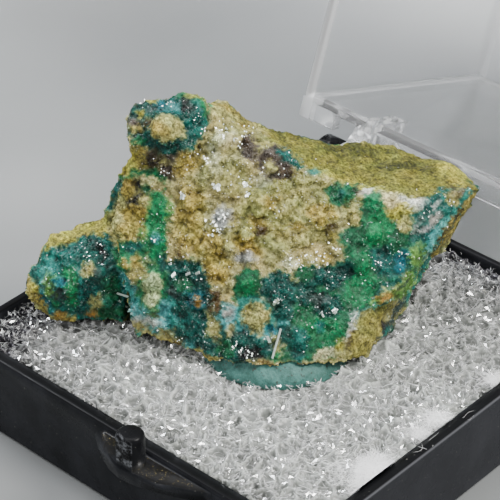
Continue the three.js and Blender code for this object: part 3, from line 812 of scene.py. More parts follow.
def paint_rock(places, normals):
    """Colour, relief and glint of each vertex of the rock."""
    px, _ = photo_pixels(places)
    px = px + 4.5 * noise_pair(places, 40, 1.3) + 4.0 * noise_pair(places, 80, 0.4)
    px = px + 3.5 * noise_pair(places, 20, 0.17)
    patchy = noise_at(places, 2.6)
    speckle = noise_at(places + 15, 0.9)
    colour = COLOURS["tan"] * np.ones((len(places), 1))
    draw_towards(colour, COLOURS["khaki"], smooth_step(0, 0.35, patchy)[:, None])
    relief = np.full(len(places), CRUSTS["druse"][0])
    glint = np.full(len(places), CRUSTS["druse"][1])
    for colour_name, crust, *shapes in ZONES:
        for measure, numbers in shapes:
            share = smooth_step(EDGE_PX, -EDGE_PX, measure(px, *numbers))
            draw_towards(colour, COLOURS[colour_name], share[:, None])
            draw_towards(relief, CRUSTS[crust][0], share)
            draw_towards(glint, CRUSTS[crust][1], share)

    hidden = smooth_step(0.12, -0.12, -(normals @ CAMERA_FORWARD) - 0.1)
    back = COLOURS["olive"] * np.ones((len(places), 1))
    for colour_name, low, high, source in (
            ("ochre", 0.0, 0.3, patchy),
            ("khaki", 0.05, 0.4, -speckle),
            ("green", 0.28, 0.4, patchy + 0.4 * speckle),
            ("deep teal", 0.42, 0.5, patchy + 0.3 * speckle),
            ("brown", 0.4, 0.6, -patchy)):
        draw_towards(back, COLOURS[colour_name], smooth_step(low, high, source)[:, None])
    draw_towards(colour, back, hidden[:, None])
    draw_towards(relief, CRUSTS["crust"][0], hidden)
    draw_towards(glint, BACK_GLINT, hidden)
    return ROCK_SHADE * colour ** COLOUR_DEPTH, relief, glint


def make_specimen():
    rock = cad_copy("specimen", "specimen_rock")
    remesh = rock.modifiers.new("remesh", "REMESH")
    remesh.mode = "VOXEL"
    remesh.voxel_size = ROCK_VOXEL * MM
    mesh = applied(rock, "specimen_rock")
    edges = np.empty(len(mesh.edges) * 2, np.int32)
    mesh.edges.foreach_get("vertices", edges)
    edges = edges.reshape(-1, 2)
    places = outline_fitted(smoothed(vertex_values(mesh, "co") / MM, edges, ROCK_SMOOTHING))
    move_vertices(mesh, places)
    normals = unit(smoothed(vertex_values(mesh, "normal"), edges, 6))
    colour, relief, glint = paint_rock(places, normals)

    coarse, middle, small = (0.5 - cells_at(places + shift, size) for shift, size in ROCK_CELLS)
    rise = relief * (0.55 * coarse + 0.32 * middle) + (0.3 + 0.7 * relief) * 0.15 * small
    rise += 0.1 * noise_at(places, 0.28) + 0.15 * noise_at(places, 1.7)
    moved = places + normals * rise[:, None]
    move_vertices(mesh, moved)

    # Painted shade and light: hollows are darker and raised places lighter. Each kind of crust has a
    # grain of its own
    hollow = ((moved - smoothed(moved, edges, 7)) * normals).sum(axis=1)
    shade = 1 + np.clip(hollow * 6.5, -0.8, 0.55)
    shade *= 1 + 0.3 * noise_at(places + 33, 0.8) + 0.22 * noise_at(places + 44, 0.3)
    velvet = smooth_step(0.45, 0.25, relief) * smooth_step(0.4, 0.6, glint)
    fibres = places - 0.75 * (places @ CAMERA_UP)[:, None] * CAMERA_UP
    shade *= 1 + 0.45 * velvet * noise_at(fibres + 66, 0.3)
    bare = smooth_step(0.4, 0.2, glint)
    shade *= 1 - 0.42 * bare * smooth_step(0.1, 0.4, noise_at(places + 77, 0.3))
    colour *= shade[:, None] * (1 + 0.14 * noise_at(places + 55, 1.0)[:, None] * (1, 0, -0.8))
    colour = np.clip(colour, 0.004, 0.95)
    tint(mesh, colour)
    tint(mesh, np.column_stack([relief, glint, glint]), "crust")
    mesh.materials.append(mineral_material())
    mesh.shade_smooth()
    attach(rock, "box")
    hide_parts("specimen")
    return moved, normals, colour, glint


# One small crystal of the crust
OCTAHEDRON = np.array([(1, 0, 0), (-1, 0, 0), (0, 0.8, 0), (0, -0.8, 0), (0, 0, 0.7), (0, 0, -0.7)])
OCTAHEDRON_FACES = [
    (0, 2, 4), (2, 1, 4), (1, 3, 4), (3, 0, 4), (2, 0, 5), (1, 2, 5), (3, 1, 5), (0, 3, 5)]


def make_specks(places, normals, colour, glint):
    """The smallest crystals of the crust, most of them where it glints."""
    rng = np.random.default_rng(SEEDS["specks"])
    chance = glint ** 2 * smooth_step(-0.35, 0.35, noise_at(places + 61, 0.9))
    chosen = rng.choice(len(places), SPECK_COUNT, replace=False, p=chance / chance.sum())
    sizes = rng.uniform(*SPECK_SIZES, SPECK_COUNT) * rng.uniform(0.5, 1, SPECK_COUNT)
    pale = rng.uniform(0.1, 0.8, (SPECK_COUNT, 1)) * (rng.uniform(size=(SPECK_COUNT, 1)) < 0.16)
    pale *= np.clip(0.1 + 2.5 * colour[chosen].mean(axis=1, keepdims=True), 0, 1)
    sizes[pale[:, 0] > 0.2] *= 0.7
    middles = places[chosen] + normals[chosen] * 0.01
    points, faces = repeated(OCTAHEDRON, OCTAHEDRON_FACES, random_turns(rng, SPECK_COUNT), sizes, middles)
    shades = np.clip(colour[chosen] * 1.2 * (1 - pale) + pale * 0.85, 0, 0.9)
    material = crystal_material("speck_crystal", 0.0, 0.12)
    specks = new_piece("crystal_specks", points, faces, material, "box")
    tint(specks.data, np.repeat(shades, len(OCTAHEDRON), axis=0))


# Larger crystals, as pixels of their two ends, half width in millimetres and lift off the rock
LARGE_CRYSTALS = [
    (117, 292, 130, 296, 0.08, 0.3), (173, 277, 177, 273, 0.13, 0.25), (187, 274, 190, 272, 0.11, 0.2),
    (196, 273, 200, 272, 0.11, 0.2), (280, 328, 272, 357, 0.08, 0.25), (267, 337, 269, 342, 0.14, 0.3),
    (274, 304, 277, 299, 0.12, 0.25), (333, 313, 336, 309, 0.12, 0.2), (119, 300, 125, 307, 0.07, 0.2),
    (46, 250, 48, 256, 0.08, 0.25), (350, 322, 356, 314, 0.06, 0.2),
]

# Clusters of small crystal faces, painted near white as glints: pixels of the centre, their spread, how
# many and their size
GLINTS = [
    (184, 195, 2, 7, 0.18), (216, 187, 4, 12, 0.13), (246, 185, 2.5, 8, 0.15), (247, 194, 2, 6, 0.14),
    (217, 226, 7, 16, 0.09), (208, 160, 5, 8, 0.08),
    (223, 215, 7, 10, 0.08), (226, 132, 8, 16, 0.07), (238, 142, 8, 12, 0.06), (250, 128, 5, 5, 0.05),
    (275, 301, 2.5, 5, 0.1), (334, 311, 3, 8, 0.1), (323, 314, 3, 5, 0.08), (314, 258, 12, 26, 0.06),
    (296, 262, 8, 14, 0.06), (336, 248, 5, 7, 0.06), (212, 234, 3, 4, 0.08), (235, 348, 5, 10, 0.06),
    (247, 353, 6, 14, 0.07), (180, 338, 3, 4, 0.06), (264, 162, 5, 3, 0.05), (284, 172, 4, 4, 0.05),
    (260, 176, 4, 2, 0.05), (197, 118, 6, 5, 0.05), (201, 131, 3, 5, 0.06), (143, 104, 5, 5, 0.05),
    (168, 105, 5, 5, 0.05), (166, 171, 5, 7, 0.05), (104, 246, 6, 6, 0.05), (88, 255, 8, 7, 0.05),
    (378, 266, 7, 6, 0.05), (400, 252, 4, 5, 0.05), (300, 292, 9, 3, 0.05), (325, 280, 10, 4, 0.05),
    (283, 300, 6, 3, 0.05), (190, 284, 7, 4, 0.05), (205, 300, 5, 3, 0.05), (172, 262, 4, 4, 0.05),
    (430, 212, 7, 8, 0.05), (450, 200, 7, 5, 0.05), (155, 240, 3, 4, 0.06), (240, 175, 12, 12, 0.05),
    (205, 160, 9, 8, 0.05), (272, 215, 10, 7, 0.05),
]


def nearest_places(places, normals, pixels):
    """The rock's places and normals that show nearest to the given pixels."""
    px, depth = photo_pixels(places)
    shown = np.flatnonzero(normals @ CAMERA_FORWARD < 0.1)
    px, depth = px[shown], depth[shown]
    found = [shown[(np.hypot(px[:, 0] - x, px[:, 1] - y) + 0.05 * depth).argmin()] for x, y in pixels]
    return places[found], normals[found]


def make_large_crystals(places, normals):
    """White blades and blocks with slanted ends, where they show in the photograph."""
    corner_ways = ((0.9, 0.3), (-0.5, 0.5), (-1, -0.3), (0.6, -0.5))
    points, faces = [], []
    for x0, y0, x1, y1, half_width, lift in LARGE_CRYSTALS:
        found, leans = nearest_places(places, normals, ((x0, y0), (x1, y1)))
        ends = found + leans * lift * 0.6
        way = unit(ends[1] - ends[0])
        side = unit(np.cross(way, CAMERA_FORWARD))
        other = np.cross(way, side)
        first = len(points)
        for end, slant in zip(ends, (0.25, 0.35)):
            for across, deep in corner_ways:
                skew = way * slant * across
                points.append(end + (skew + side * across + other * deep) * half_width)
        faces.append([first + corner for corner in range(4)])
        for corner in range(4):
            a, b = first + corner, first + (corner + 1) % 4
            faces.append([b, a, a + 4, b + 4])
        faces.append([first + 4 + corner for corner in reversed(range(4))])
    material = crystal_material("white_crystal", 0.45, 0.12)
    blades = new_piece("white_crystals", points, faces, material, "box")
    tint(blades.data, np.tile(srgb(214, 228, 218), (len(points), 1)))


def make_glints(places, normals):
    """Small crystal faces that catch the lamps, painted near white as glints."""
    rng = np.random.default_rng(SEEDS["glints"])
    pixels, sizes = [], []
    for x, y, spread, count, size in GLINTS:
        pixels.extend(rng.normal((x, y), spread * 0.6, (count, 2)))
        sizes.extend(size * rng.uniform(0.5, 1.2, count))
    found, leans = nearest_places(places, normals, pixels)
    turns = lamp_turns(rng, len(found))
    plate = np.array([
        (-1, -0.7, 0.15), (0.8, -0.9, 0.15), (1, 0.6, 0.15), (-0.6, 0.9, 0.15), (0, 0, -0.9)])
    plate_faces = [(0, 1, 2, 3), (1, 0, 4), (2, 1, 4), (3, 2, 4), (0, 3, 4)]
    points, faces = repeated(plate, plate_faces, turns, np.array(sizes), found + leans * 0.04)
    material = crystal_material("glint_crystal", 0.0, 0.08)
    plates = new_piece("crystal_glints", points, faces, material, "box")
    # Painted glint: the plates are near white
    tint(plates.data, np.tile(srgb(226, 236, 228), (len(points), 1)))


# Putty

PUTTY_CENTRE = (-0.35, -2.4, 5.9)
PUTTY_RADII = (5.05, 4.35, 2.2)
PUTTY_RINGS = 60


def putty_material():
    material, tree, shader = new_material("putty")
    rightward = measured_socket(tree, CAMERA_RIGHT)
    colour = layered(tree, rgba(38, 86, 78), (
        (cloud_socket(tree, 0.7, 0.38, 0.62, 0, 1, 6.0, 0.75), (72, 126, 118)),
        # Painted shadow of the rock: the putty is darker towards the right
        (ramp_socket(tree, rightward, 0.5, 4, 0, 0.6), (34, 74, 62)),
        (cloud_socket(tree, 0.3, 0.64, 0.68, 0, 0.85, 2.0), (52, 52, 44)),
    ))
    set_inputs(shader, {
        "Base Color": colour,
        "Normal": bump_socket(tree, noise_socket(tree, 0.3, 6.0, 0.7), 0.1, 0.9),
        "Roughness": 0.55,
        "Subsurface Weight": 0.15,
        "Subsurface Radius": (0.0005, 0.0006, 0.0006),
    })
    return material


def make_putty():
    turn = math.radians(CAMERA_TURN_DEG)
    around = 2 * PUTTY_RINGS
    points, faces = [], []
    for ring in range(PUTTY_RINGS + 1):
        tilt = 0.5 * math.pi * ring / PUTTY_RINGS
        for step in range(around):
            angle = math.pi * step / PUTTY_RINGS
            u = PUTTY_CENTRE[0] + PUTTY_RADII[0] * math.cos(angle) * math.cos(tilt)
            v = PUTTY_CENTRE[1] + PUTTY_RADII[1] * math.sin(angle) * math.cos(tilt)
            w = PUTTY_CENTRE[2] + PUTTY_RADII[2] * math.sin(tilt)
            x = u * math.cos(turn) - v * math.sin(turn)
            y = u * math.sin(turn) + v * math.cos(turn)
            points.append((x, y, w))
            if ring < PUTTY_RINGS:
                a, b = ring * around + step, ring * around + (step + 1) % around
                faces.append((a, b, b + around, a + around))
    points = np.array(points)
    points[:, 0] += 0.25 * noise_at(points, 1.8)
    points[:, 1] += 0.25 * noise_at(points + 9, 1.8)
    points[:, 2] += 0.08 * noise_at(points - 9, 1.1)
    faces.append(tuple(reversed(range(around))))
    piece = new_piece("putty", points, faces, putty_material(), "box", smooth=True)
    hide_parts("mounting_putty")


# Foam

FOAM_PALE = np.array(srgb(161, 164, 159))
# The colour of the painted shade near the walls
FOAM_DARK = np.array(srgb(34, 32, 38))
# The lower edge of the rock, in pixels, along which painted light falls on the foam
ROCK_FOOT = (
    [(52, 328), (100, 332), (140, 342), (200, 364)],
    [(350, 368), (384, 346), (410, 314), (440, 270)],
)


def foam_material(name, roughness, clear=0.0, index=1.5):
    material, tree, shader = new_material(name)
    set_inputs(shader, {
        "Base Color": shaded_tint(tree, cloud_socket(tree, 0.5, 0.3, 0.7, 0.82, 1.12)),
        "Normal": bump_socket(tree, noise_socket(tree, 0.18), 0.05, 0.6),
        "Roughness": roughness,
        "IOR": index,
        "Transmission Weight": clear,
        "Subsurface Weight": 0.15,
        "Subsurface Radius": (0.001, 0.001, 0.001),
    })
    return material


def at_height(places, height):
    """Places on the foam with their height added."""
    return np.column_stack([places, np.full(len(places), height)])


def foam_cells(places):
    """Distances from each place to the nearest two bubble centres, and a number for its own bubble."""
    rng = np.random.default_rng(SEEDS["foam"])
    count = int(2 * FOAM_HALF / FOAM_CELL) + 3
    base = (np.arange(count) - 1) * FOAM_CELL - FOAM_HALF
    centres = np.stack(np.meshgrid(base, base, indexing="ij"), axis=2)
    centres += rng.uniform(-0.5, 0.5, (count, count, 2)) * FOAM_CELL
    flat = at_height(places, 0.0)
    places = places + 0.28 * np.column_stack([noise_at(flat + 3, 0.9), noise_at(flat - 3, 0.9)])
    levels = rng.uniform(0, 1, (count, count))
    home = np.round((places + FOAM_HALF) / FOAM_CELL).astype(int) + 1
    near = np.full(len(places), np.inf)
    second = near.copy()
    level = np.zeros(len(places))
    for dx in range(-2, 3):
        for dy in range(-2, 3):
            column = np.clip(home[:, 0] + dx, 0, count - 1)
            row = np.clip(home[:, 1] + dy, 0, count - 1)
            off = np.linalg.norm(places - centres[column, row], axis=1)
            closer = off < near
            second = np.where(closer, near, np.where(off > near, np.minimum(second, off), second))
            level = np.where(closer, levels[column, row], level)
            near = np.where(closer, off, near)
    return near, second, level


def foam_shade(places):
    """Painted shade: the foam is darker towards the walls, most on the left and at the back, where the
    walls shade it and black shows through it.
    """
    left = 1.4 * np.exp(-(places[:, 0] + FOAM_HALF) / 4.0)
    left *= smooth_step(8.0, -8.0, places[:, 1]) * 0.4 + 0.8
    back = 1.1 * np.exp(-(FOAM_HALF - places[:, 1]) / 4.0)
    front = 0.5 * np.exp(-(places[:, 1] + FOAM_HALF) / 1.0)
    right = 0.25 * np.exp(-(FOAM_HALF - places[:, 0]) / 0.6)
    return np.clip(left + back + front + right, 0, 1)


def rim_gap(places):
    """How much nearer each place is to its own bubble than to the next one, zero on the rim between."""
    near, second, _ = foam_cells(places)
    return second - near


def painted_light_under_rock(places):
    """Painted light on the foam under the lower edge of the rock, a share from 0 to 1, standing in for
    light through its open cells.
    """
    px, _ = photo_pixels(at_height(places, FOAM_TOP))
    return smooth_step(16, 2, np.minimum(*(line_distance(px, line) for line in ROCK_FOOT)))


def make_foam():
    side = int(2 * FOAM_HALF / FOAM_STEP)
    line = np.linspace(-FOAM_HALF, FOAM_HALF, side)
    places = np.stack(np.meshgrid(line, line, indexing="ij"), axis=2).reshape(-1, 2)
    flat = at_height(places, 0.0)
    near, second, level = foam_cells(places)
    wall = smooth_step(0.22, 0.0, second - near)
    sunk = (0.3 + 0.6 * level) * np.sqrt(np.clip(1 - (near / (0.75 * FOAM_CELL)) ** 2, 0, 1))
    height = FOAM_TOP - 0.12 - sunk * (1 - 0.75 * wall) + 0.16 * wall * noise_at(flat, 0.7)
    height += 0.18 * noise_at(flat, 6.0) + 0.05 * noise_at(flat + 5, 0.25)
    at_edge = abs(places).max(axis=1) > FOAM_HALF - 0.5 * FOAM_STEP
    points = np.column_stack([places, np.where(at_edge, FOAM_BOTTOM, height)])
    index = np.arange(side * side).reshape(side, side)
    faces = np.stack([index[:-1, :-1], index[1:, :-1], index[1:, 1:], index[:-1, 1:]], axis=2)
    border = [*index[0, :-1], *index[:-1, -1], *index[-1, :0:-1], *index[:0:-1, 0]]
    faces = [*faces.reshape(-1, 4).tolist(), [int(corner) for corner in border]]
    material = foam_material("foam_cells", 0.22)
    foam = new_piece("foam_block", points, faces, material, "box", smooth=True)
    # Painted shade: the foam's colour darkens towards the walls
    shade = foam_shade(places)[:, None]
    colour = FOAM_PALE * (1 - shade) + FOAM_DARK * shade
    colour *= (0.5 + 0.75 * wall + 0.25 * noise_at(flat, 2.5) + 0.15 * noise_at(flat + 9, 0.4))[:, None]
    # Painted light: the foam's colour is brighter under the lower edge of the rock
    colour *= (1 + 0.8 * painted_light_under_rock(places))[:, None]
    tint(foam.data, np.clip(colour, 0, 0.9))
    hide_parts("foam_pad")


def outside_putty(places):
    """Whether places on the foam are clear of the putty."""
    turn = math.radians(CAMERA_TURN_DEG)
    u = places[:, 0] * math.cos(turn) + places[:, 1] * math.sin(turn)
    v = places[:, 1] * math.cos(turn) - places[:, 0] * math.sin(turn)
    off = np.hypot((u - PUTTY_CENTRE[0]) / PUTTY_RADII[0], (v - PUTTY_CENTRE[1]) / PUTTY_RADII[1])
    return off > 1.0


def foam_bright(rng, places):
    # Painted shade: threads darken towards the walls
    bright = rng.uniform(0.8, 1.0, (len(places), 1)) * (1 - 0.75 * foam_shade(places))[:, None]
    # Painted light: threads are brighter under the lower edge of the rock
    bright *= (1 + 0.5 * painted_light_under_rock(places))[:, None]
    return np.clip(bright * (0.985, 1, 1), 0, 1)


def kept_on_foam(points):
    points[:, 2] = np.minimum(points[:, 2], FOAM_TOP + 0.18)
    points[:, :2] = np.clip(points[:, :2], -FOAM_HALF, FOAM_HALF)
    return points


def make_foam_strands():
    """Bright threads along the rims of the cut cells, with a few torn strands between them."""
    rng = np.random.default_rng(SEEDS["strands"])
    centres = rng.uniform(-FOAM_REACH, FOAM_REACH, (12 * RIM_COUNT, 2))
    gap = rim_gap(centres)
    centres = centres[(gap > 0.03) & (gap < 0.16) & outside_putty(centres)][:RIM_COUNT]
    count = len(centres)
    step = 0.02
    slope = np.column_stack([rim_gap(centres + (step, 0)), rim_gap(centres + (0, step))])
    slope -= rim_gap(centres)[:, None]
    slope = unit(slope)
    way = np.column_stack([-slope[:, 1], slope[:, 0], rng.normal(0, 0.3, count)])
    base = np.column_stack([centres, FOAM_TOP - 0.05 + rng.uniform(-0.2, 0.14, count)])
    lengths = rng.uniform(0.35, 0.95, count)
    starts = base - way * (0.5 * lengths)[:, None]
    radii = rng.uniform(0.006, 0.018, count)
    bend = rng.uniform(-0.15, 0.15, count)
    rims = strands(rng, starts, way, lengths, radii, bend, RIM_RINGS, at_height(slope, 0.0))
    rim_shades = np.repeat(foam_bright(rng, centres), 3 * RIM_RINGS + 2, axis=0)

    places = rng.uniform(-FOAM_REACH, FOAM_REACH, (2 * STRAND_COUNT, 2))
    places = places[outside_putty(places)][:STRAND_COUNT]
    count = len(places)
    starts = np.column_stack([places, FOAM_TOP - 0.25 + rng.uniform(-0.3, 0.3, count)])
    way = rng.normal(size=(count, 3)) * (1, 1, 0.35) + (0, 0, 0.1)
    lengths = rng.gamma(4.0, 0.16, count)
    radii = rng.uniform(0.008, 0.02, count)
    torn = strands(rng, starts, way, lengths, radii, rng.uniform(-0.4, 0.4, count), TORN_RINGS)
    torn_shades = np.repeat(foam_bright(rng, places), 3 * TORN_RINGS + 2, axis=0)
    points, faces = joined(rims, torn)
    material = foam_material("torn_foam", 0.06, 0.2, 1.9)
    piece = new_piece("foam_strands", kept_on_foam(points), faces, material, "box")
    tint(piece.data, np.concatenate([rim_shades, torn_shades]))


def make_foam_film():
    """Scraps of clear film on the foam, some of which catch the lamps."""
    rng = np.random.default_rng(SEEDS["film"])
    bright = FILM_COUNT // 2
    places = rng.uniform(-FOAM_REACH, FOAM_REACH, (12 * FILM_COUNT, 2))
    places = places[outside_putty(places)]
    places[:8 * FILM_COUNT] = places[np.argsort(rim_gap(places[:8 * FILM_COUNT]))]
    on_rims = rng.permutation(places[:3 * FILM_COUNT])[:bright]
    places = np.concatenate([on_rims, places[-FILM_COUNT:][bright:]])
    count = len(places)
    starts = np.column_stack([places, FOAM_TOP - 0.2 + rng.uniform(-0.3, 0.15, count)])
    starts[:bright, 2] = FOAM_TOP + rng.uniform(0.0, 0.14, bright)
    turns = random_turns(rng, count)
    turns[:bright] = lamp_turns(rng, bright)
    sizes = rng.uniform(0.08, 0.3, count)
    sizes[:bright] = np.minimum(rng.gamma(3.5, 0.036, bright), 0.24)
    scrap = np.array([(1.2, 0.1, 0), (-0.3, 0.6, 0.1), (-1.0, -0.4, 0), (0.1, 0, -0.12)])
    scrap_faces = [(0, 1, 2), (1, 0, 3), (2, 1, 3), (0, 2, 3)]
    points, faces = repeated(scrap, scrap_faces, turns, sizes, starts)
    material, _, shader = new_material("foam_film")
    set_inputs(shader, {
        "Base Color": (0.97, 0.97, 0.96, 1),
        "Roughness": 0.05,
        "IOR": 2.2,
        "Transmission Weight": 0.8,
    })
    new_piece("foam_film", kept_on_foam(points), faces, material, "box")


# Lint on the foam, as pixels of the centre, half width and height in pixels, and number of fibres
LINT = [(375, 471, 15, 12, 3300), (364, 486, 9, 7, 500), (438, 420, 10, 5, 700), (421, 433, 9, 5, 300),
        (495, 379, 6, 5, 350), (340, 470, 16, 12, 150)]
# Loose fibres over the rim, as pixels of their two ends
LOOSE_FIBRES = [(384, 466, 399, 452), (393, 447, 402, 458), (411, 452, 420, 441), (417, 446, 428, 450),
                (428, 441, 439, 432), (432, 444, 441, 449), (462, 418, 476, 411), (470, 421, 479, 416)]
LINT_TOP = FOAM_TOP + 0.2


def foam_place(x, y, height):
    """The place in millimetres that shows at a pixel, at some height above the floor."""
    across = CAMERA_RIGHT * (x - IMAGE_PX / 2) - CAMERA_UP * (y - IMAGE_PX / 2)
    ray = CAMERA_FORWARD + across * SENSOR / LENS / IMAGE_PX
    return CAMERA_PLACE + ray * (height - CAMERA_PLACE[2]) / ray[2]


def make_lint():
    rng = np.random.default_rng(SEEDS["lint"])
    starts = []
    for x, y, half_width, half_height, count in LINT:
        for dx, dy in rng.normal(0, 0.5, (count, 2)):
            starts.append(foam_place(x + dx * half_width, y + dy * half_height, LINT_TOP - 0.15))
    starts = np.array(starts)
    count = len(starts)
    ways = rng.normal(size=(count, 3)) * (1, 1, 0.2)
    lengths = rng.uniform(0.25, 1.3, count)
    radii = rng.uniform(0.006, 0.013, count)
    tufts = strands(rng, starts, ways, lengths, radii, rng.uniform(-0.5, 0.5, count), LINT_RINGS)
    tufts[0][:, 2] = np.clip(tufts[0][:, 2], FOAM_TOP - 0.2, LINT_TOP)
    tufts[0][:, :2] = np.clip(tufts[0][:, :2], -FOAM_HALF - 0.1, FOAM_HALF + 0.1)

    starts = np.array([foam_place(x, y, LINT_TOP) for x, y, _, _ in LOOSE_FIBRES])
    ways = np.array([foam_place(x, y, LINT_TOP) for _, _, x, y in LOOSE_FIBRES]) - starts
    count = len(ways)
    bend = rng.uniform(-0.4, 0.4, count)
    lengths = np.linalg.norm(ways, axis=1)
    loose = strands(rng, starts, ways, lengths, np.full(count, 0.008), bend, LINT_RINGS)
    loose[0][:, 2] = np.minimum(loose[0][:, 2], LINT_TOP)
    points, faces = joined(tufts, loose)
    points[:, :2] = np.clip(points[:, :2], -LINT_REACH, LINT_REACH)
    material, _, shader = new_material("lint")
    set_inputs(shader, {
        "Base Color": (1, 1, 1, 1),
        "Roughness": 0.6,
        "Subsurface Weight": 0.6,
        "Subsurface Radius": (0.0005, 0.0005, 0.0005),
    })
    new_piece("lint", points, faces, material, "box")


# Box and lid

LEDGE_Y = -15.95
LID_OPEN_DEG = 110.2
LID_UP = (0, math.sin(math.radians(LID_OPEN_DEG)), math.cos(math.radians(LID_OPEN_DEG)))
LID_FORWARD = (0, math.cos(math.radians(LID_OPEN_DEG)), -math.sin(math.radians(LID_OPEN_DEG)))
HINGE = (0, 18.67, 5.885)
RIM_LEVEL = HINGE[1] * LID_UP[1] + HINGE[2] * LID_UP[2] + 0.8
HINGE_WALL = HINGE[1] * LID_FORWARD[1] + HINGE[2] * LID_FORWARD[2] - 2.8


def refined(node, name, material, body):
    """A copy of a solid whose bevels and curved faces are smooth."""
    piece = cad_copy(node, name)
    piece.data.materials.append(material)
    weld = piece.modifiers.new("weld", "WELD")
    weld.merge_threshold = 0.002 * MM
    mesh = applied(piece, name)
    mesh.shade_smooth()
    mesh.set_sharp_from_angle(angle=math.radians(50))
    weighted = piece.modifiers.new("weighted", "WEIGHTED_NORMAL")
    weighted.keep_sharp = True
    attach(piece, body)
    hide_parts(node)


def black_plastic():
    material, tree, shader = new_material("black_plastic")
    place = add_node(tree, "ShaderNodeSeparateXYZ", {"Vector": place_socket(tree)}).outputs
    normal = add_node(tree, "ShaderNodeNewGeometry").outputs["Normal"]
    lean = add_node(tree, "ShaderNodeSeparateXYZ", {"Vector": normal}).outputs
    outside = ramp_socket(tree, place["Y"], LEDGE_Y, LEDGE_Y - 0.1)
    below = ramp_socket(tree, place["Z"], 6.4, 6.6, 1, 0)
    ledge_top = product_socket(tree, outside, below, range_socket(tree, lean["Z"], 0.6, 0.9, 0, 1))
    # Painted shade: the top of the rim is painted near black
    painted_dark_rim_top = product_socket(tree, range_socket(tree, lean["Z"], 0.3, 0.8, 0, 0.85),
                             ramp_socket(tree, place["Z"], 6.0, 6.1), below)
    broken = product_socket(tree, range_socket(tree, lean["Y"], -0.5, -0.8, 0, 1),
                            ramp_socket(tree, place["Z"], 6.3, 6.5))
    grime = product_socket(tree, ledge_top, cloud_socket(tree, 0.5, 0.35, 0.6, 0.2, 0.8))
    gold = product_socket(tree, ledge_top, cloud_socket(tree, 0.1, 0.66, 0.74, 0, 0.7, 1.0))
    chips = product_socket(tree, broken, cloud_socket(tree, 0.3, 0.45, 0.62, 0, 0.8))
    # Paler along the outer top edge of the right wall
    pale_top_edge = product_socket(tree, ramp_socket(tree, place["X"], 15.72, 15.8, 0, 0.45),
                          ramp_socket(tree, place["Z"], 6.12, 6.2))
    colour = layered(tree, rgba(26, 27, 29), (
        (cloud_socket(tree, 3.0, 0.35, 0.75, 0, 1), (44, 45, 49)),
        # Painted light: faces turned towards +X are lighter
        (range_socket(tree, lean["X"], 0.6, 0.9, 0, 0.32), (58, 59, 64)),
        (ramp_socket(tree, place["Z"], 6.4, 6.6, 0, 0.8), (8, 8, 9)),
        # Painted shade on the top of the rim
        (painted_dark_rim_top, (7, 7, 8)),
        (grime, (20, 18, 13)),
        (gold, (116, 104, 70)),
        (chips, (110, 112, 116)),
        (pale_top_edge, (120, 121, 126)),
        (cloud_socket(tree, 0.16, 0.77, 0.8, 0, 0.7, 1.0), (130, 128, 120)),
    ))
    polish = cloud_socket(tree, 1.6, 0.3, 0.7, 0.2, 0.36)
    waves = bump_socket(tree, noise_socket(tree, 0.5), 0.006, 0.5)
    set_inputs(shader, {
        "Base Color": colour,
        "Roughness": math_socket(tree, "MULTIPLY_ADD", painted_dark_rim_top, 0.15, polish),
        "Normal": bump_socket(tree, noise_socket(tree, 0.35), 0.12, broken, waves),
        "IOR": 1.4,
        "Specular IOR Level": 0.12,
    })
    return material


def clear_plastic():
    material, tree, shader = new_material("clear_plastic")
    above_rim = measured_socket(tree, LID_UP)
    across = measured_socket(tree, LID_FORWARD)
    place = add_node(tree, "ShaderNodeSeparateXYZ", {"Vector": place_socket(tree)})
    sideways = math_socket(tree, "ABSOLUTE", place.outputs["X"])
    side = ramp_socket(tree, sideways, 14.8, 14.95)
    low = ramp_socket(tree, above_rim, RIM_LEVEL + 0.1, RIM_LEVEL - 0.15)
    high = ramp_socket(tree, above_rim, RIM_LEVEL + 22.2, RIM_LEVEL + 22.8)
    hinged = ramp_socket(tree, across, HINGE_WALL - 0.8, HINGE_WALL - 0.3)
    frost = product_socket(tree, side, low, 0.6)
    for edge in ((low, 0.14), (side, high, 0.3), (side, hinged, 0.4), (high, hinged, 0.3)):
        frost = math_socket(tree, "MAXIMUM", frost, product_socket(tree, *edge))
    ears = product_socket(tree, ramp_socket(tree, across, HINGE_WALL + 0.1, HINGE_WALL + 0.3),
                          ramp_socket(tree, sideways, 10.6, 10.7, 1, 0),
                          ramp_socket(tree, sideways, 8.9, 9.0))
    # Painted highlight: patches of the ears let less light through and show the white base colour
    painted_ear_highlight = product_socket(tree, ears, cloud_socket(tree, 0.9, 0.46, 0.58, 0.1, 0.9, 1.0))
    clear = range_socket(tree, frost, 0, 1, 0.975, 0.25)
    waves = bump_socket(tree, noise_socket(tree, 4.0, 2.0), 0.02, 0.3)
    lean = range_socket(tree, ears, 0, 1, 0, 1.1)
    set_inputs(shader, {
        "Base Color": (0.99, 0.992, 0.995, 1),
        "Roughness": range_socket(tree, frost, 0, 1, 0.05, 0.45),
        "Transmission Weight": math_socket(tree, "SUBTRACT", clear, painted_ear_highlight),
        "Normal": faceted_normal(tree, waves, 0.5, lean),
        "IOR": 1.2,
    })
    return material


# Floor and light

# Painted light and shade on the floor, as lighter and darker clouds: pixel of the middle, reach in
# millimetres, share and grey
FLOOR_CLOUDS = [
    (520, -50, 34, 0.9, 182), (20, 190, 9, 0.4, 144), (130, 10, 13, 0.5, 112), (40, 10, 8, 0.3, 116),
    (20, 480, 7, 0.4, 84),
]


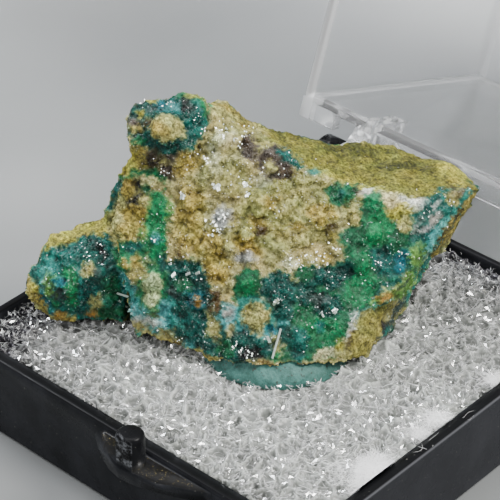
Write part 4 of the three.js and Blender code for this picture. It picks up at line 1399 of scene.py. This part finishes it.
def make_floor():
    material, tree, shader = new_material("floor")
    away = measured_socket(tree, (*CAMERA_FORWARD[:2], 0))
    colour = layered(tree, rgba(126, 129, 130), (
        (cloud_socket(tree, 60.0, 0.3, 0.7, 0, 1), (133, 135, 135)),
        # Painted shade: the floor darkens towards the camera
        (ramp_socket(tree, away, 50, -40, 0, 0.76), (92, 93, 91)),
    ))
    # Painted light and shade: the floor's lighter and darker clouds
    for x, y, reach, share, tone in FLOOR_CLOUDS:
        apart = measured_socket(tree, foam_place(x, y, 0) * MM, "DISTANCE")
        there = ramp_socket(tree, apart, reach, 0, 0, share)
        there.node.interpolation_type = "SMOOTHSTEP"
        colour = mix_socket(tree, there, colour, rgba(tone, tone + 1, tone + 1))
    set_inputs(shader, {"Base Color": colour, "Roughness": 0.6})
    half = 1.5
    corners = [(-half, -half, 0), (half, -half, 0), (half, half, 0), (-half, half, 0)]
    mesh = bpy.data.meshes.new("floor")
    mesh.from_pydata(corners, [], [(0, 1, 2, 3)])
    mesh.materials.append(material)
    floor = new_object("floor", mesh)


def add_light(name, place, size, power, colour=(1, 1, 1), aim=(0, 0, 0.01)):
    data = bpy.data.lights.new(name, "AREA")
    data.color = colour
    data.shape = "DISK"
    data.size = size
    data.energy = power
    light = new_object(name, data)
    light.location = place
    light.rotation_euler = (Vector(aim) - Vector(place)).to_track_quat("-Z", "Y").to_euler()


def make_lights():
    add_light("overhead", (0.0, 0.05, 0.6), 0.5, 2.7)
    add_light("left_lamp", (-0.3, 0.0, 0.35), 0.14, 2.1, (0.92, 0.95, 1))
    add_light("right_lamp", (0.28, 0.12, 0.35), 0.14, 2.7, (1, 0.985, 0.95))
    add_light("front_lamp", (0.1, -0.4, 0.35), 0.14, 1.3)
    world = bpy.data.worlds.new("world")
    world.use_nodes = True
    background = world.node_tree.nodes["Background"]
    set_inputs(background, {"Color": (0.9, 0.93, 0.95, 1), "Strength": 0.45})
    bpy.context.scene.world = world


make_camera()
rock_places, rock_normals, rock_colour, rock_glint = make_specimen()
make_specks(rock_places, rock_normals, rock_colour, rock_glint)
make_large_crystals(rock_places, rock_normals)
make_glints(rock_places, rock_normals)
make_putty()
make_foam()
make_foam_strands()
make_foam_film()
make_lint()
refined("base_tray", "tray", black_plastic(), "box")
refined("lid", "clear_lid", clear_plastic(), "lid")
make_floor()
make_lights()
